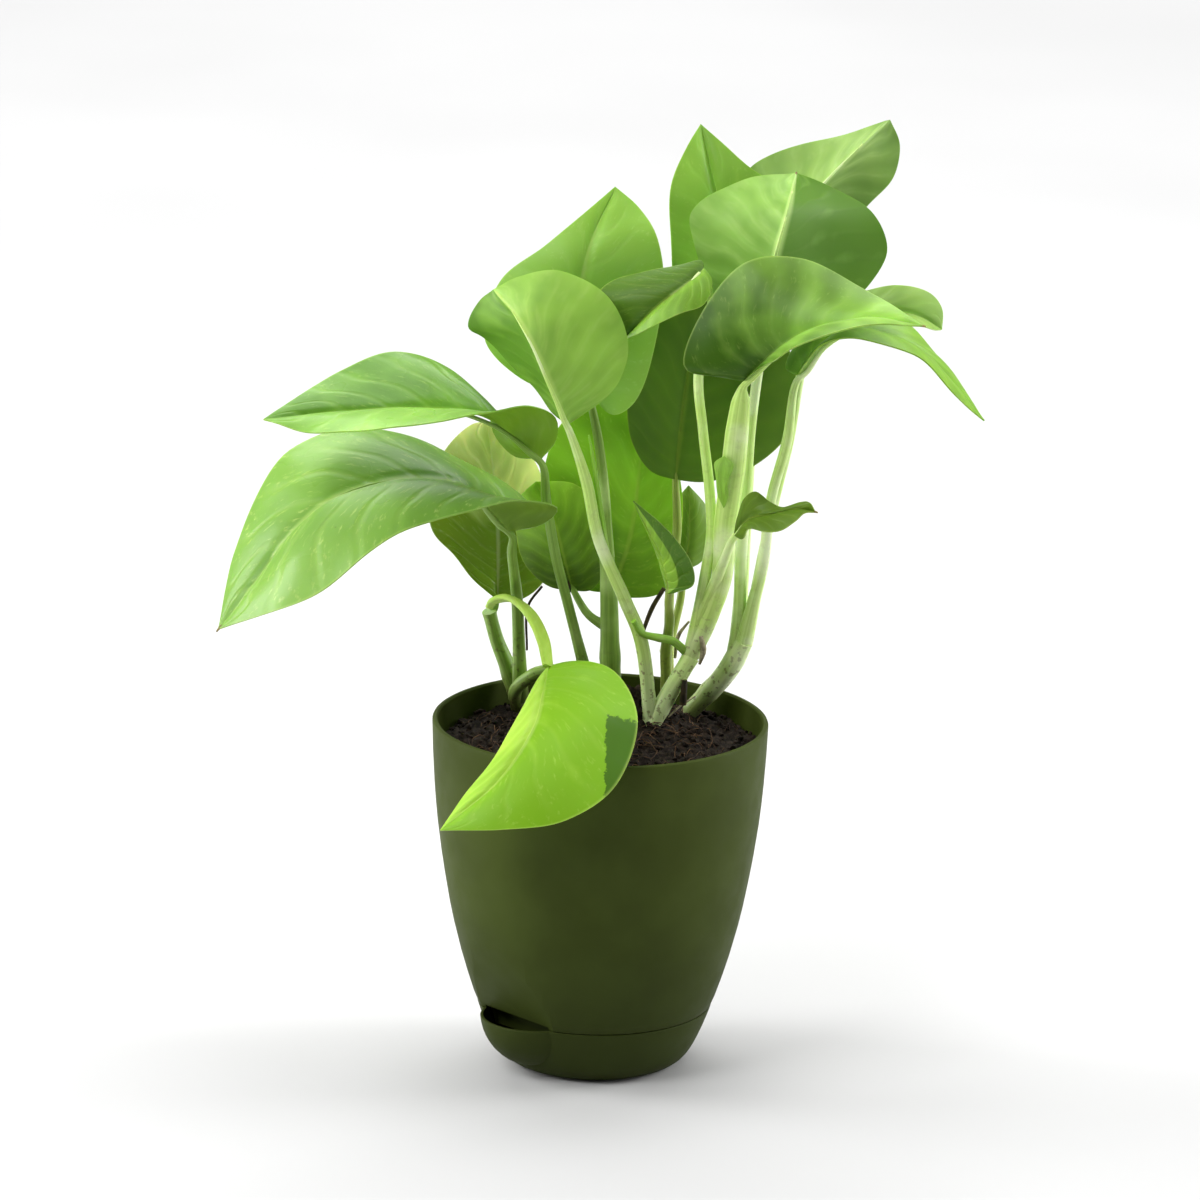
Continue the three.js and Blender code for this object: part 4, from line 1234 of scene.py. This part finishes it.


# The looks of each blade: its slot, its light and deep tones, its streaks, its gloss, and where painted shade
# deepens it.
# The light and deep tones are partly the blade's own green and partly painted light and shade, after how lit
# each blade stands.
UPPER_LOOKS = {
    "leaf_left_low": ("leaf_bright", (132, 174, 78), (106, 150, 54), 0.6, 0.26, {"right": 0.2, "foot": 0.3}),
    "leaf_left_high": ("leaf_bright", (146, 198, 76), (96, 144, 44), 0.3, 0.24, {"right": 0.5}),
    "leaf_crown_left": ("leaf_bright", (154, 200, 78), (124, 170, 58), 0.2, 0.36, {"right": 0.2}),
    "leaf_crown_right": ("leaf_mid", (128, 166, 70), (98, 136, 52), 0.2, 0.4, {}),
    "leaf_crown_front": ("leaf_mid", (126, 166, 64), (88, 128, 42), 0.2, 0.4, {}),
    "leaf_front_right": ("leaf_mid", (150, 196, 80), (62, 98, 16), 0.15, 0.34, {"foot": 0.85}),
    "leaf_front_centre": ("leaf_mid", (118, 160, 50), (84, 124, 34), 0.3, 0.36, {}),
    "leaf_back_left_tall": ("leaf_bright", (150, 196, 84), (140, 188, 60), 0.3, 0.36, {"point": 0.15}),
    "leaf_back_dark": ("leaf_dark", (98, 134, 36), (72, 104, 24), 0.0, 0.44, {}),
    "leaf_right_long": ("leaf_mid", (140, 188, 62), (92, 134, 42), 0.2, 0.36, {"foot": 0.6}),
    "leaf_right_back": ("leaf_mid", (166, 202, 100), (112, 150, 62), 0.1, 0.34, {"foot": 0.4}),
    "leaf_centre_side": ("leaf_mid", (142, 190, 62), (82, 118, 30), 0.2, 0.36, {"right": 0.9}),
    # Painted light: the near-white light tone stands in for the light on this blade's glossy top, and its
    # lower part takes painted shade.
    "leaf_low_left_back": ("leaf_bright", (250, 254, 170), (124, 150, 42), 0.15, 0.24, {"lower": 0.9}),
    "leaf_low_centre_back": ("leaf_mid", (156, 208, 56), (114, 154, 36), 0.35, 0.28, {"foot": 0.55}),
    "leaf_low_centre_front": ("leaf_mid", (146, 196, 52), (82, 112, 28), 0.2, 0.32, {"foot": 0.75}),
    "leaf_low_right_back": ("leaf_dark", (112, 144, 50), (86, 116, 34), 0.1, 0.36, {}),
    "leaf_front_low": ("leaf_lime", (188, 232, 84), (132, 184, 34), 0.2, 0.36, {"left": 0.9}),
    "leaf_right_curled": ("leaf_dark", (110, 142, 38), (76, 106, 24), 0.1, 0.36, {}),
    "leaf_young_folded": ("leaf_mid", (158, 202, 72), (84, 124, 38), 0.2, 0.24, {"turned_margin": 1.0}),
}
# Undersides that face the photograph's camera: light and deep tones, partly painted light and shade, tone of
# the midrib, and painted shade in bands and zones.
UNDER_LOOKS = {
    "leaf_crown_right": ((144, 178, 88), (108, 144, 62), (176, 206, 124), 0.3, {"left": 0.2}),
    "leaf_crown_front": ((150, 194, 90), (90, 134, 34), (182, 212, 124), 0.22, {"left": 0.85}),
    "leaf_front_centre": ((160, 206, 84), (94, 138, 42), (188, 218, 112), 0.12, {"right": 0.7}),
    "leaf_left_high": ((130, 170, 46), (100, 138, 32), (150, 186, 74), 0.1, {}),
    "leaf_left_low": ((118, 150, 44), (92, 122, 30), (146, 178, 72), 0.1, {}),
    "leaf_front_low": ((180, 214, 88), (152, 192, 60), (208, 226, 128), 0.1, {}),
}
# The skin of each vine: light, deep and pale tones, the height in metres up to which it is brown, how brown,
# and the tone of its foot where that isn't the usual brown.
SKINS = {
    "vine_left": ((150, 188, 84), (118, 152, 58), (178, 206, 118), 0.128, 0.8),
    "vine_centre": ((138, 174, 72), (106, 140, 48), (184, 212, 128), 0.116, 0.5),
    "vine_middle": ((212, 242, 138), (178, 214, 100), (236, 250, 196), 0.138, 0.55, (206, 216, 178)),
    "vine_right": ((218, 244, 156), (182, 214, 114), (242, 252, 212), 0.128, 0.65, (96, 92, 56)),
    "vine_back": ((164, 182, 88), (128, 148, 62), (192, 206, 118), 0.12, 0.4),
}

DRIED_TIPS = (
    "leaf_crown_front", "leaf_front_right", "leaf_centre_side", "leaf_left_low", "leaf_right_curled",
)

RIBS = rib_places()

set_camera()
set_studio()

plastic = pot_plastic()
earth = soil_earth()
dry = dry_skin("dry_leaf_tip", (104, 92, 46), (150, 136, 80))
make_pot_body(plastic)
make_pot_reservoir(plastic, shaded_inside_plastic())
make_soil(earth)
make_crumbs(earth)
make_clump(earth)
make_fibres(soil_fibre())
green = stalk_skin("green_shoot_skin", (156, 206, 72), (132, 184, 54), (184, 222, 112), 0.1, 0.0)
for vine_name in VINES:
    make_vine(vine_name, stalk_skin(vine_name + "_skin", *SKINS[vine_name]), green)

# Lit and shaded copies of one underside: the shaded one is painted darker for the blades at the back, in the
# leaf_dark slot, that stand in shade.
lit_under = leaf_under("leaf_underside", (124, 164, 70), (96, 134, 48), (164, 198, 108))
shaded_under = leaf_under("leaf_dark_underside", (94, 130, 38), (68, 100, 26), (114, 150, 58))
for blade_name, (slot, light, deep, streaks, gloss, shade_zones) in UPPER_LOOKS.items():
    streak = tuple(round(value + 0.45 * (255 - value)) for value in light[:2]) + (light[2] + 40,)
    patch = margin_patch if blade_name == "leaf_front_low" else None
    upper = leaf_upper(blade_name + "_upper", light, deep, streak, streaks, gloss, shade_zones, patch)
    under = shaded_under if slot == "leaf_dark" else lit_under
    if blade_name in UNDER_LOOKS:
        under = leaf_under(blade_name + "_under", *UNDER_LOOKS[blade_name])
    make_blade(blade_name, slot, [upper, under], dry)
make_remnants(
    green,
    dry_skin("dry_sheath", (118, 110, 84), (166, 158, 126)),
    dry_skin("dark_root", (38, 34, 20), (70, 58, 34)),
)
